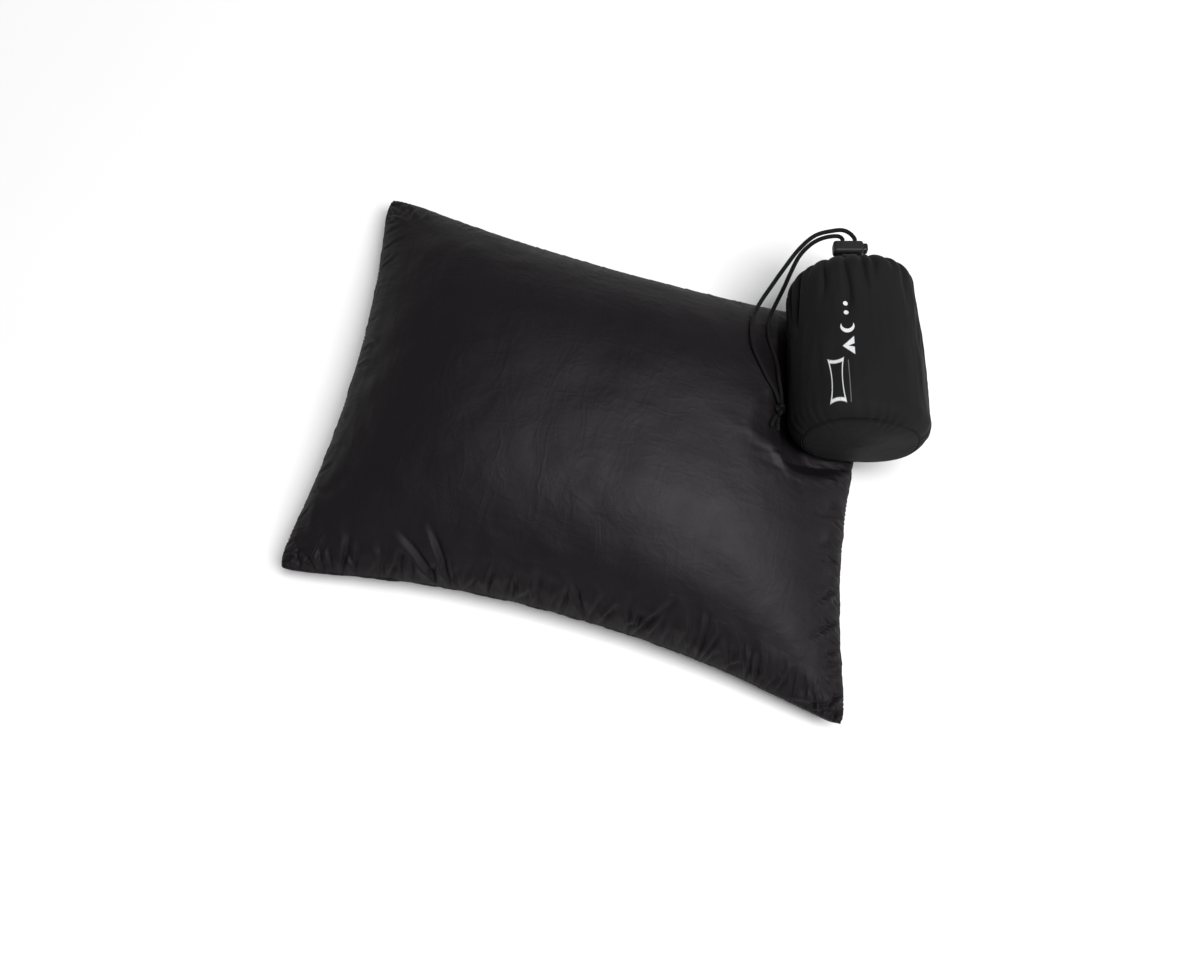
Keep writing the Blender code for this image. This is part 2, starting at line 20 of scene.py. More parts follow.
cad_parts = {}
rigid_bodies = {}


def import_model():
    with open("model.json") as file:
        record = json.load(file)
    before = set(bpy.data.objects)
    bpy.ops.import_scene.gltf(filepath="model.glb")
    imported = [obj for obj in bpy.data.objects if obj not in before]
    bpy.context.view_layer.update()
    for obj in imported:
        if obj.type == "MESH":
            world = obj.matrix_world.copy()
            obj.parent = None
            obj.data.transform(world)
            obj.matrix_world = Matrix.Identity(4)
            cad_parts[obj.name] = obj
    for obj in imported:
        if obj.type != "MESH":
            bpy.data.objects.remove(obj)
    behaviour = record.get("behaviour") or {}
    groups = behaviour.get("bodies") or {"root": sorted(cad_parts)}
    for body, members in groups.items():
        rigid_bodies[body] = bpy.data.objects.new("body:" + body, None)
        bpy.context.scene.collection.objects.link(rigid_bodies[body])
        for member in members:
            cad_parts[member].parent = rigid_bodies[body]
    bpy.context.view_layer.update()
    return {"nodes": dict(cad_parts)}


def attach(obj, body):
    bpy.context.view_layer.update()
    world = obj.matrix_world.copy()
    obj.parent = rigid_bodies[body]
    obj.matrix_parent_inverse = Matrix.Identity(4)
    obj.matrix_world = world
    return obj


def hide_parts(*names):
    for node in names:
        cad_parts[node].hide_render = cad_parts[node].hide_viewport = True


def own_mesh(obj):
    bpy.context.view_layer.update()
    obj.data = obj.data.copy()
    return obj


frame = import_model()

MM = 0.001
scene = bpy.context.scene

# %% [markdown]
# ## Camera and light
#
# The camera looks down on the pillow from its near side. Dark satin shows its shape only by what it
# reflects, so one broad soft light hangs high over the right side, a faint one stands beyond it, and the
# room is dim and even. The left slopes, which face away from both lights, then stay nearly black.

# %% Camera
CAMERA_RISE, CAMERA_TURN, CAMERA_AWAY = math.radians(72), math.radians(14.6), 0.95
LOOK_AT = Vector((0, 0, 0.03))  # a point inside the pillow, which the lights aim at too
LENS, SENSOR, SHIFT = 43.98, 36, (-0.007, -0.032)

camera = bpy.data.objects.new("camera", bpy.data.cameras.new("camera"))
scene.collection.objects.link(camera)
backwards = Vector((
    math.sin(CAMERA_TURN) * math.cos(CAMERA_RISE),
    -math.cos(CAMERA_TURN) * math.cos(CAMERA_RISE),
    math.sin(CAMERA_RISE),
))
camera.location = LOOK_AT + backwards * CAMERA_AWAY
camera.rotation_euler = backwards.to_track_quat("Z", "Y").to_euler()
camera.data.lens = LENS
camera.data.sensor_width = SENSOR
camera.data.shift_x, camera.data.shift_y = SHIFT
camera.data.clip_start = 0.01
scene.camera = camera
print("camera at", [round(x, 3) for x in camera.location])


# %% Soft light and a dim, even room
SOFTBOXES = {  # name: (place in metres, width and height in metres, power in watts)
    "key_softbox": ((1.10, -0.25, 3.2), (1.5, 2.5), 152),
    "side_softbox": ((3.1, -0.7, 1.5), (1.2, 1.2), 12),
}
ROOM_LIGHT = 0.11


def softbox(name, place, size, power):
    """A rectangular soft light at a place, turned to the pillow."""
    lamp = bpy.data.lights.new(name, "AREA")
    lamp.shape = "RECTANGLE"
    lamp.size, lamp.size_y = size
    lamp.energy = power
    made = bpy.data.objects.new(name, lamp)
    made.location = place
    made.rotation_euler = (Vector(place) - LOOK_AT).to_track_quat("Z", "Y").to_euler()
    scene.collection.objects.link(made)


for name, settings in SOFTBOXES.items():
    softbox(name, *settings)
room = bpy.data.worlds.new("room")
room.use_nodes = True
room.node_tree.nodes["Background"].inputs["Color"].default_value = (1, 1, 1, 1)
room.node_tree.nodes["Background"].inputs["Strength"].default_value = ROOM_LIGHT
scene.world = room
scene.view_settings.view_transform = "Standard"


# %% [markdown]
# ## Writing finishes as sums
#
# A finish is a small graph of shader nodes. Two classes keep it readable: `Finish` makes a material and
# adds nodes to it, and `Value` wraps a socket so that `1 - mask * 0.5` adds the Math nodes by itself.
# Coordinates come from the piece's own UV map where a pattern follows the cloth or a cord, and from
# Object coordinates elsewhere, so that a pattern stays put when a piece moves.

# %% Value and Finish
class Value:
    """A socket in a finish. Sums on values add Math nodes."""

    def __init__(self, finish, socket):
        self.finish, self.socket = finish, socket

    def maths(self, operation, *inputs, clamp=False):
        settings = {"operation": operation, "use_clamp": clamp}
        return self.finish.node("ShaderNodeMath", settings, dict(enumerate(inputs)))

    def __add__(self, other):
        return self.maths("ADD", self, other)

    def __sub__(self, other):
        return self.maths("SUBTRACT", self, other)

    def __rsub__(self, other):
        return self.maths("SUBTRACT", other, self)

    def __mul__(self, other):
        return self.maths("MULTIPLY", self, other)

    def __truediv__(self, other):
        return self.maths("DIVIDE", self, other)

    def __pow__(self, other):
        return self.maths("POWER", self, other)

    def __abs__(self):
        return self.maths("ABSOLUTE", self)

    __radd__, __rmul__ = __add__, __mul__

    def sine(self):
        return self.maths("SINE", self)

    def root(self):
        return self.maths("SQRT", self)

    def most(self, other):
        return self.maths("MAXIMUM", self, other)

    def least(self, other):
        return self.maths("MINIMUM", self, other)

    def below(self, limit, soft):
        """1 well below the limit and 0 above it, with a soft edge."""
        return self.maths("MULTIPLY_ADD", limit - self, 1 / soft, 0.5, clamp=True)

    def parts(self):
        """The x, y and z of a vector."""
        split = self.finish.node("ShaderNodeSeparateXYZ", {}, {0: self}).socket.node
        return [Value(self.finish, split.outputs[i]) for i in range(3)]


class Finish:
    """A material, and the one way that nodes are added to it."""

    def __init__(self, name, **constants):
        self.material = bpy.data.materials.new(name)
        self.material.use_nodes = True
        self.tree = self.material.node_tree
        self.shader = self.tree.nodes["Principled BSDF"]
        for name, value in constants.items():
            self.shader.inputs[name.replace("_", " ")].default_value = value

    def put(self, value, socket):
        if isinstance(value, Value):
            self.tree.links.new(value.socket, socket)
        else:
            socket.default_value = value

    def node(self, kind, settings=None, inputs=None, output=0):
        made = self.tree.nodes.new(kind)
        for name, value in (settings or {}).items():
            setattr(made, name, value)
        for name, value in (inputs or {}).items():
            self.put(value, made.inputs[name])
        return Value(self, made.outputs[output])

    def place(self):
        return self.node("ShaderNodeTexCoord", output="Object")

    def on_cloth(self, name):
        return self.node("ShaderNodeUVMap", {"uv_map": name})

    def noise(self, where, scale, detail=2.0, roughness=0.5, distortion=0.0):
        values = {"Vector": where, "Scale": scale, "Detail": detail, "Roughness": roughness}
        return self.node("ShaderNodeTexNoise", {}, {**values, "Distortion": distortion})

    def stretched(self, where, scale, turn=0.0):
        values = {"Vector": where, "Scale": scale, "Rotation": (0, 0, turn)}
        return self.node("ShaderNodeMapping", {}, values)

    def mix(self, share, first, second):
        settings = {"data_type": "RGBA"}
        return self.node("ShaderNodeMix", settings, {0: share, 6: first, 7: second}, output=2)

    def relief(self, height, depth, under=None):
        """A bump of this depth in metres, on top of another bump."""
        values = {"Height": height, "Distance": depth, "Strength": 1.0}
        if under is not None:
            values["Normal"] = under
        return self.node("ShaderNodeBump", {}, values)

    def surface(self, **links):
        for name, value in links.items():
            self.put(value, self.shader.inputs[name.replace("_", " ")])
        return self.material


print("finishes are written as sums on", Value.__name__, "objects")


# %% [markdown]
# ### Nylon cloth
#
# The pillow's shell is fine downproof taffeta with a satin face. It looks dark and slightly warm, with a
# broad soft highlight. The weave is far finer than a millimetre, so it shows up close only. What shows
# from afar are the crinkles that thin cloth keeps from being packed: short creases in crossing
# directions. Ridged noise, which is noise folded at its middle value, gives such creases. Near the seam
# the cloth is gathered and looks rougher; its colour is darkened there as painted shade of the gathers.

# %% Weave, crinkles, gathers and the two nylons
CUT_LENGTH, CUT_WIDTH = 404 * MM, 310 * MM  # each of the pillow's panels, laid flat
PANELS_APART = 0.5  # the lower panel lies beside the upper one on the map, this many metres over
THREAD_PITCH, THREAD_RELIEF = 0.42 * MM, 0.012 * MM
CREASES = 0.16 * MM  # how deep the crinkles of either cloth are
GATHERS, GATHER_REACH = 2.6 * MM, 30 * MM


def ridges(finish, where, scale, detail=2.0, distortion=0.0):
    """Noise folded into thin creases: 1 on a crease and less beside it."""
    return 1 - abs(finish.noise(where, scale, detail, 0.55, distortion) * 2 - 1)


def weave_of(finish, across, along, pitch):
    """Threads over and under each other, as a height from 0 to 1."""
    turn = 2 * math.pi / pitch
    warp, weft = (across * turn).sine(), (along * turn).sine()
    return warp * weft * 0.5 + 0.5


def crinkled(finish, where, depth):
    """The creases that packing leaves, coarse to fine, as one normal."""
    coarse = ridges(finish, finish.stretched(where, (1.0, 0.45, 0.7), 0.35), 58, 3.0, 0.6)
    crossing = ridges(finish, finish.stretched(where, (0.5, 1.0, 0.7), -0.5), 95, 2.0, 0.4)
    fine = finish.noise(where, 420, 3.0, 0.6)
    first = finish.relief(coarse ** 3, depth)
    second = finish.relief(crossing ** 4, depth * 0.55, first)
    return finish.relief(fine, depth * 0.16, second)


def on_either_panel(across):
    """A place across the map, with the lower panel laid on top of the upper one."""
    shifted = across + PANELS_APART / 2
    return shifted.maths("FLOORED_MODULO", shifted, PANELS_APART) - PANELS_APART / 2


def seam_nearness(across, along, reach):
    """1 on the pillow's seam and 0 from this reach inwards."""
    from_side = (CUT_LENGTH / 2 - abs(on_either_panel(across))) / reach
    from_end = (CUT_WIDTH / 2 - abs(along)) / reach
    return 1 - from_side.least(from_end).least(1).most(0)


def gathered(finish, across, along, depth, under):
    """Fine gathers that start in the pillow's seam and fade into the panel, on top of another normal."""
    across = on_either_panel(across)
    normal = under
    sides = (
        (across, along, CUT_WIDTH / 2, 0.65 - along * 2.5),
        (along, across, CUT_LENGTH / 2, 0.75 + across * 1.5),
    )
    for beside, inwards, half, strength in sides:
        where = finish.node("ShaderNodeCombineXYZ", {}, {0: beside, 1: inwards * 0.25, 2: half})
        crests = ridges(finish, where, 80, 2.0, 0.8) ** 2.4
        patches = (finish.noise(where, 24, 1.0) * 2.6 - 0.7).most(0)
        near_seam = (1 - (half - abs(inwards)) / GATHER_REACH).most(0)
        normal = finish.relief(crests * patches * strength * near_seam, depth, normal)
    return normal


def nylon(name, dark, light, roughness, sheen, shine, tint=(1, 1, 1)):
    """A woven nylon whose colour and gloss drift over the cloth. Returns the finish and its parts."""
    finish = Finish(name, Sheen_Weight=sheen, Sheen_Roughness=0.45, IOR=1.5, Specular_IOR_Level=shine)
    finish.shader.inputs["Specular Tint"].default_value = (*tint, 1)
    where = finish.place()
    across, along, _ = finish.on_cloth("cloth").parts()
    threads = weave_of(finish, across, along, THREAD_PITCH)
    drift = finish.noise(where, 16, 3.0)
    colour = finish.mix(drift, dark, light)
    colour = finish.mix(threads * 0.10, colour, (*[2.2 * c for c in light[:3]], 1))
    gloss = finish.noise(where, 31, 4.0, 0.6) * 0.16 + (roughness - 0.08)
    crinkles = crinkled(finish, where, CREASES)
    normal = finish.relief(threads, THREAD_RELIEF, crinkles)
    return finish, colour, gloss, normal


shell_finish, colour, gloss, normal = nylon(
    "shell_nylon_satin", dark=(0.0028, 0.0021, 0.0027, 1), light=(0.0050, 0.0038, 0.0048, 1),
    roughness=0.58, sheen=0.0, shine=0.27, tint=(1.0, 0.94, 0.99),
)
across, along, _ = shell_finish.on_cloth("cloth").parts()
normal = gathered(shell_finish, across, along, GATHERS, normal)
near_seam = seam_nearness(across, along, 60 * MM)
gloss = gloss + near_seam * near_seam * 0.16
# painted shade: the base colour darkens towards the seam, standing in for the shade that the gathers cast
colour = shell_finish.mix(near_seam * 0.5, colour, (0.0014, 0.0010, 0.0013, 1))
shell_nylon = shell_finish.surface(Base_Color=colour, Roughness=gloss, Normal=normal)
print("made", shell_nylon.name)


# %% [markdown]
# ### The sack's cloth and its printed mark
#
# The sack is of a plainer, more matt nylon. A pale print runs along its front. It is a plain row of
# camp pictograms: a pillow beside a thin rule, a tent, a moon and two dots. Each is the inside or the
# outline of a shape, given by a sum on the map "print", which holds the place across and along the sack.

# %% Sack nylon with pictograms
PRINT_EDGE = 0.15 * MM  # how softly the ink ends


def outlined(distance, width, soft):
    """A line of this width along distance 0."""
    return abs(distance).below(width / 2, soft)


def pillow_sign(across, along, middle, half):
    """The outline of a pillow with sides that pull in. The distance is a share of its half size."""
    x, z = (across - middle[0]) / half[0], (along - middle[1]) / half[1]
    reach_x = 1 - 0.34 * (1 - z * z).most(0)
    reach_z = 1 - 0.10 * (1 - x * x).most(0)
    share = (abs(x) / reach_x).most(abs(z) / reach_z)
    return outlined(share - 0.9, 0.15, 0.05)


def tent_sign(across, along, middle, half):
    """A solid tent with an open door. It stands with its foot to the right of the sack."""
    up, side = (middle[0] - across) / half, abs(along - middle[1]) / half
    roof = (up + side * 1.15).below(0.62, 0.08)
    foot = (0 - up).below(0.62, 0.08)
    door = 1 - (up + side * 3.2).below(0.05, 0.08)
    return roof * foot * door


def moon_sign(across, along, middle, radius):
    """A disc with a smaller disc taken out of one side."""
    x, z = across - middle[0], along - middle[1]
    disc = (x * x + z * z).root().below(radius, PRINT_EDGE)
    other = z - 0.45 * radius
    bite = (x * x + other * other).root().below(radius * 0.85, PRINT_EDGE)
    return disc * (1 - bite)


def bar_sign(across, along, middle, half):
    """A solid bar."""
    inside_x = abs(across - middle[0]).below(half[0], 0.12 * MM)
    return inside_x * abs(along - middle[1]).below(half[1], 0.12 * MM)


def dot_sign(across, along, middle, radius):
    """A solid dot."""
    x, z = across - middle[0], along - middle[1]
    return (x * x + z * z).root().below(radius, PRINT_EDGE)


sack_finish, colour, gloss, normal = nylon(
    "sack_nylon_matt", dark=(0.0092, 0.0092, 0.0096, 1), light=(0.0130, 0.0129, 0.0136, 1),
    roughness=0.70, sheen=0.02, shine=0.05,
)
across, along, _ = sack_finish.on_cloth("print").parts()
SIGNS_ACROSS = -10.4 * MM  # where the tent, the moon and the dots stand across the sack
bold = pillow_sign(across, along, (-18.4 * MM, 25 * MM), (5.0 * MM, 15.5 * MM))
bold = bold.most(tent_sign(across, along, (SIGNS_ACROSS, 47.5 * MM), 5.6 * MM))
bold = bold.most(moon_sign(across, along, (SIGNS_ACROSS, 60.5 * MM), 4.2 * MM))
for dot_along in (70.5 * MM, 77.0 * MM):
    bold = bold.most(dot_sign(across, along, (SIGNS_ACROSS, dot_along), 1.5 * MM))
faint = bar_sign(across, along, (-11.2 * MM, 24 * MM), (0.28 * MM, 14 * MM))
worn = sack_finish.noise(sack_finish.place(), 900, 2.0).below(0.72, 0.2)
ink = bold * worn
colour = sack_finish.mix(faint * 0.35, colour, (0.30, 0.30, 0.31, 1))
colour = sack_finish.mix(ink, colour, (0.66, 0.67, 0.68, 1))
sack_nylon = sack_finish.surface(Base_Color=colour, Roughness=gloss, Normal=normal)
print("made", sack_nylon.name)


# %% [markdown]
# ### Cord, thread, plastic and steel
#
# The cord is a round braid: yarns cross in two spirals, which two crossing sine waves on its own map
# show as rows of small lozenges. The thread is twisted, so a slanted wave will do. The lock is moulded
# plastic with a fine spark-eroded grain, and its spring is drawn steel wire.

# %% Cord braid, thread, plastic and steel
BRAID_PITCH, BRAID_YARNS = 1.7 * MM, 4
THREAD_TWIST = 0.5 * MM


def braid_finish():
    finish = Finish("cord_braid_black", Specular_IOR_Level=0.15)
    around, along, _ = finish.on_cloth("cord").parts()
    forwards, sideways = along * (2 * math.pi / BRAID_PITCH), around * (2 * math.pi * BRAID_YARNS)
    first = (forwards + sideways).sine()
    second = (forwards - sideways).sine()
    yarns = first * second * 0.5 + 0.5
    fuzz = finish.noise(finish.place(), 2600, 3.0)
    dark, light = (0.0015, 0.0015, 0.0017, 1), (0.0100, 0.0100, 0.0105, 1)
    colour = finish.mix(yarns * 0.8 + fuzz * 0.2, dark, light)
    normal = finish.relief(fuzz, 0.03 * MM, finish.relief(yarns, 0.22 * MM))
    return finish.surface(Base_Color=colour, Roughness=0.62 + fuzz * 0.2, Normal=normal)


def thread_finish():
    finish = Finish("polyester_thread_black", Sheen_Weight=0.1)
    x, y, z = finish.place().parts()
    twist = ((x + y + z) * (2 * math.pi / THREAD_TWIST)).sine() * 0.5 + 0.5
    colour = finish.mix(twist, (0.006, 0.006, 0.0065, 1), (0.026, 0.025, 0.026, 1))
    normal = finish.relief(twist, 0.03 * MM)
    return finish.surface(Base_Color=colour, Roughness=0.5 + twist * 0.15, Normal=normal)


def plastic_finish(name, dark, light, roughness):
    finish = Finish(name, IOR=1.49, Specular_IOR_Level=0.25)
    where = finish.place()
    grain = finish.noise(where, 3200, 2.0)
    scuffs = ridges(finish, finish.stretched(where, (1, 0.2, 1), 0.4), 500, 3.0) ** 6
    colour = finish.mix(scuffs * 0.5 + finish.noise(where, 120) * 0.4, dark, light)
    normal = finish.relief(grain, 0.012 * MM)
    return finish.surface(Base_Color=colour, Roughness=roughness + grain * 0.12, Normal=normal)


def steel_finish():
    finish = Finish("spring_steel_wire")
    drawn = finish.noise(finish.stretched(finish.place(), (1, 6, 6)), 1500, 2.0)
    colour = finish.mix(drawn, (0.46, 0.46, 0.47, 1), (0.62, 0.62, 0.63, 1))
    return finish.surface(Base_Color=colour, Metallic=1.0, Roughness=0.24 + drawn * 0.16)


cord_braid = braid_finish()
seam_thread = thread_finish()
lock_plastic = plastic_finish(
    "lock_plastic_barrel", dark=(0.008, 0.0082, 0.0086, 1), light=(0.018, 0.0184, 0.0192, 1), roughness=0.44,
)
plunger_plastic = plastic_finish(
    "lock_plastic_plunger", dark=(0.006, 0.006, 0.0064, 1), light=(0.013, 0.013, 0.0136, 1), roughness=0.40,
)
spring_steel = steel_finish()
print("made", [m.name for m in (cord_braid, seam_thread, lock_plastic, plunger_plastic, spring_steel)])


# %% [markdown]
# ## The floor
#
# A plain pale sheet, large enough to fill the view, with a very faint unevenness.

# %% Floor
floor_finish = Finish("pale_floor", Specular_IOR_Level=0.2)
tone = floor_finish.noise(floor_finish.place(), 3, 2.0)
tone = floor_finish.mix(tone, (0.86, 0.86, 0.86, 1), (0.90, 0.90, 0.90, 1))
floor_material = floor_finish.surface(Base_Color=tone, Roughness=0.75)
floor_mesh = bpy.data.meshes.new("floor")
FLOOR, FLOOR_HEIGHT = 4.0, -0.4 * MM  # just under the pillow, so that the two don't lie in one plane
corners = [(x * FLOOR, y * FLOOR, FLOOR_HEIGHT) for x, y in ((-1, -1), (1, -1), (1, 1), (-1, 1))]
floor_mesh.from_pydata(corners, [], [(0, 1, 2, 3)])
floor_mesh.materials.append(floor_material)
floor = bpy.data.objects.new("floor", floor_mesh)
scene.collection.objects.link(floor)
print("floor", 2 * FLOOR, "m square")


# %% [markdown]
# ## Two rules for Geometry Nodes
#
# A cord is a round section carried along a path, and a row of stitches is one small stitch repeated
# along a path. Both are rules, so each is a node tree with named inputs, and one tree serves every cord
# or every row. `Tree` keeps the trees as readable as the finishes. The cord tree also writes the map
# "cord", round and along, before its open section is merged shut, so the braid has no bad column.

# %% Helpers for node trees
class Tree:
    """A Geometry Nodes tree with named inputs."""

    def __init__(self, name, inputs):
        self.group = bpy.data.node_groups.new(name, "GeometryNodeTree")
        sockets = self.group.interface
        sockets.new_socket("Path", in_out="INPUT", socket_type="NodeSocketGeometry")
        for label, kind in inputs.items():
            sockets.new_socket(label, in_out="INPUT", socket_type="NodeSocket" + kind)
        sockets.new_socket("Geometry", in_out="OUTPUT", socket_type="NodeSocketGeometry")
        self.start = self.group.nodes.new("NodeGroupInput").outputs
        self.end = self.group.nodes.new("NodeGroupOutput").inputs

    def node(self, kind, settings=None, inputs=None):
        """Adds a Geometry node of this kind, or after = a node whose whole type is given."""
        made = self.group.nodes.new("GeometryNode" + kind if kind[0] != "=" else kind[1:])
        for name, value in (settings or {}).items():
            setattr(made, name, value)
        for name, value in (inputs or {}).items():
            if isinstance(value, bpy.types.NodeSocket):
                self.group.links.new(value, made.inputs[name])
            else:
                made.inputs[name].default_value = value
        return made.outputs

    def finish(self, geometry):
        """Ends the tree: real geometry, smooth, in the finish that was asked for."""
        real = self.node("RealizeInstances", {}, {0: geometry})[0]
        smooth = self.node("SetShadeSmooth", {}, {0: real})[0]
        done = self.node("SetMaterial", {}, {0: smooth, "Material": self.start["Finish"]})[0]
        self.group.links.new(done, self.end["Geometry"])


def grown(name, points, tree, values, closed=False, widths=None):
    """Runs a tree on a path through the points, and returns the result as a plain mesh object."""
    mesh = bpy.data.meshes.new(name + "_path")
    count = len(points)
    edges = [(i, i + 1) for i in range(count - 1)] + ([(count - 1, 0)] if closed else [])
    mesh.from_pydata([tuple(p) for p in points], edges, [])
    if widths is not None:
        mesh.attributes.new("width", "FLOAT", "POINT").data.foreach_set("value", widths)
    guide = bpy.data.objects.new(name + "_path", mesh)
    scene.collection.objects.link(guide)
    modifier = guide.modifiers.new("grow", "NODES")
    modifier.node_group = tree.group
    identifiers = {s.name: s.identifier for s in tree.group.interface.items_tree if s.in_out == "INPUT"}
    for label, value in values.items():
        modifier[identifiers[label]] = value
    graph = bpy.context.evaluated_depsgraph_get()
    result = bpy.data.meshes.new_from_object(guide.evaluated_get(graph), depsgraph=graph)
    result.name = name
    bpy.data.objects.remove(guide, do_unlink=True)
    piece = bpy.data.objects.new(name, result)
    scene.collection.objects.link(piece)
    return piece


# %% The cord tree
cord_tree = Tree("cord_along_path", {"Radius": "Float", "Sides": "Int", "Finish": "Material"})
path = cord_tree.node("MeshToCurve", {}, {0: cord_tree.start["Path"]})[0]
width = cord_tree.node("InputNamedAttribute", {"data_type": "FLOAT"}, {"Name": "width"})
thick = cord_tree.node("=ShaderNodeMath", {"operation": "MULTIPLY"}, {
    0: width[0], 1: cord_tree.start["Radius"],
})[0]
spot = cord_tree.node("SplineParameter")
path_part = cord_tree.node("StoreNamedAttribute", {"data_type": "FLOAT", "domain": "POINT"}, {
    0: path, "Name": "far_along", "Value": spot["Length"],
})[0]
section = cord_tree.node("CurveArc", {}, {
    "Resolution": cord_tree.start["Sides"], "Radius": 1.0, "Sweep Angle": 2 * math.pi,
})[0]
section = cord_tree.node("StoreNamedAttribute", {"data_type": "FLOAT", "domain": "POINT"}, {
    0: section, "Name": "far_round", "Value": spot["Factor"],
})[0]
tube = cord_tree.node("CurveToMesh", {}, {0: path_part, 1: section, "Scale": thick})[0]
along = cord_tree.node("InputNamedAttribute", {"data_type": "FLOAT"}, {"Name": "far_along"})[0]
around = cord_tree.node("InputNamedAttribute", {"data_type": "FLOAT"}, {"Name": "far_round"})[0]
where = cord_tree.node("=ShaderNodeCombineXYZ", {}, {0: around, 1: along})[0]
mapped = cord_tree.node("StoreNamedAttribute", {"data_type": "FLOAT2", "domain": "CORNER"}, {
    0: tube, "Name": "cord", "Value": where,
})[0]
closed_tube = cord_tree.node("MergeByDistance", {}, {0: mapped, "Distance": 0.02 * MM})[0]
cord_tree.finish(closed_tube)

# %% The stitch tree
stitch_tree = Tree("stitches_along_path", {
    "Spacing": "Float", "Stitch Length": "Float", "Thread Radius": "Float", "Finish": "Material",
})
path = stitch_tree.node("MeshToCurve", {}, {0: stitch_tree.start["Path"]})[0]
dots = stitch_tree.node("CurveToPoints", {"mode": "LENGTH"}, {0: path, "Length": stitch_tree.start["Spacing"]})
stitch = stitch_tree.node("MeshUVSphere", {}, {"Segments": 6, "Rings": 5, "Radius": 0.5})[0]
placed = stitch_tree.node("InstanceOnPoints", {}, {
    "Points": dots["Points"], "Instance": stitch, "Rotation": dots["Rotation"],
})[0]
twice = stitch_tree.node("=ShaderNodeMath", {"operation": "MULTIPLY"}, {
    0: stitch_tree.start["Thread Radius"], 1: 2.0,
})[0]
size = stitch_tree.node("=ShaderNodeCombineXYZ", {}, {
    0: twice, 1: twice, 2: stitch_tree.start["Stitch Length"],
})[0]
placed = stitch_tree.node("ScaleInstances", {}, {0: placed, "Scale": size})[0]
stitch_tree.finish(placed)
print("trees:", [group.name for group in bpy.data.node_groups])


# %% [markdown]
# ## The drawcord
#
# The cord leaves the sack's hem as two strands, runs straight through the lock and then lies over the
# pillow's edge, one strand beside the other, to an overhand knot with two short tails. It is a limp
# braid of 2.8 mm, so it follows whatever it lies on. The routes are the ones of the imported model. A curve
# object with a bevel would do, but a tree gives the braid its own map and rounds the cut ends.

# %% The sack's own frame
SACK_BASE = Vector((154.4, 26, 69)) * MM
SACK_TURN, SACK_TILT = math.radians(14.5), math.radians(4)
laid_down = Euler((-math.pi / 2 - SACK_TILT, 0, SACK_TURN)).to_matrix().to_4x4()
sack_frame = Matrix.Translation(SACK_BASE) @ laid_down


def from_sack(points):
    """Points of the upright sack's frame, laid down on the pillow. An array in, an array out."""
    turn = np.array(sack_frame.to_3x3())
    return np.asarray(points, float) @ turn.T + np.array(sack_frame.translation)


# %% The cord's routes
CORD_RADIUS = 1.4 * MM
HOLE_X, HOLE_Y = 4 * MM, -8.5 * MM
CORD_START, STRAIGHT_TO = 129.5 * MM, 139.4 * MM
STRAND_STEP, TAIL_STEP = 2.2 * MM, 1 * MM  # between a path's points
KNOT = Vector((101.5, 35.5, 67.3)) * MM
ROUTES = {  # after the straight stretch, to the knot, in millimetres
    "left": [
        (112.2, 162, 67.3), (104, 158.8, 67.2), (97, 153.8, 64.8), (91.3, 145.3, 61.3), (88.5, 135.3, 57.5),
        (86.3, 124, 53.5), (83.8, 113, 50.3), (82, 100.5, 52.2), (84, 86, 59.2), (89.5, 75, 60.5),
        (94, 65, 63.2), (96.5, 55.5, 67.5), (99.5, 48, 67.2), (102, 40.6, 65.4),
    ],
    "right": [
        (120.4, 165, 67.8), (115.3, 166.6, 68), (109, 165, 67.8), (98, 159.5, 66), (90, 149.5, 62),
        (83.5, 135.5, 58), (77.5, 121, 53.5), (73, 108, 52), (71.5, 92.5, 61.2), (75.5, 72.5, 71.5),
        (84.5, 58.5, 73.3), (90, 51.5, 73), (96, 45.3, 71.4), (99.8, 40.2, 68.2),
    ],
}
TAILS = {
    "left": [(101.9, 30.4, 66.1), (102.4, 27.5, 64.6), (103.2, 24, 63.6)],
    "right": [(100, 30.3, 68.4), (99.2, 27, 69.6), (98.6, 23.5, 70.8)],
}


def smooth_route(points, spacing):
    """Points about spacing apart on a smooth curve through the given ones."""
    points = [Vector(p) for p in points]
    ends = [2 * points[0] - points[1], *points, 2 * points[-1] - points[-2]]
    fine = []
    for before, start, end, after in zip(ends, ends[1:], ends[2:], ends[3:]):
        fine += interpolate_bezier(start, start + (end - before) / 6, end - (after - start) / 6, end, 24)[:-1]
    fine.append(points[-1])
    length = sum((b - a).length for a, b in zip(fine, fine[1:]))
    count = max(2, round(length / spacing))
    spaced, travelled = [fine[0]], 0.0
    for a, b in zip(fine, fine[1:]):
        step = (b - a).length
        while len(spaced) < count and travelled + step >= length * len(spaced) / count:
            spaced.append(a.lerp(b, (length * len(spaced) / count - travelled) / step))
        travelled += step
    return [*spaced, fine[-1]] if (spaced[-1] - fine[-1]).length > spacing / 4 else spaced


def length_of(points):
    """The length of the path through the points."""
    return sum((b - a).length for a, b in zip(points, points[1:]))


def strand_route(side):
    """A strand's points: straight from the hem through the lock, then along its route to the knot."""
    hole_x = HOLE_X if side == "right" else -HOLE_X
    rise = STRAIGHT_TO - CORD_START
    shares = (0, 0.25, 0.5, 0.75, 1)
    straight = [sack_frame @ Vector((hole_x, HOLE_Y, CORD_START + rise * share)) for share in shares]
    free = smooth_route([straight[-2], straight[-1], *[Vector(p) * MM for p in ROUTES[side]]], STRAND_STEP)
    past = [p for p in free if (p - straight[-2]).length > (straight[-1] - straight[-2]).length]
    return straight + past


routes = {side: strand_route(side) for side in ("left", "right")}
tails = {side: smooth_route([Vector(p) * MM for p in TAILS[side]], TAIL_STEP) for side in TAILS}
print("strands in mm:", {side: round(1000 * length_of(r), 1) for side, r in routes.items()})
print("tails in mm:", {side: round(1000 * length_of(r), 1) for side, r in tails.items()})


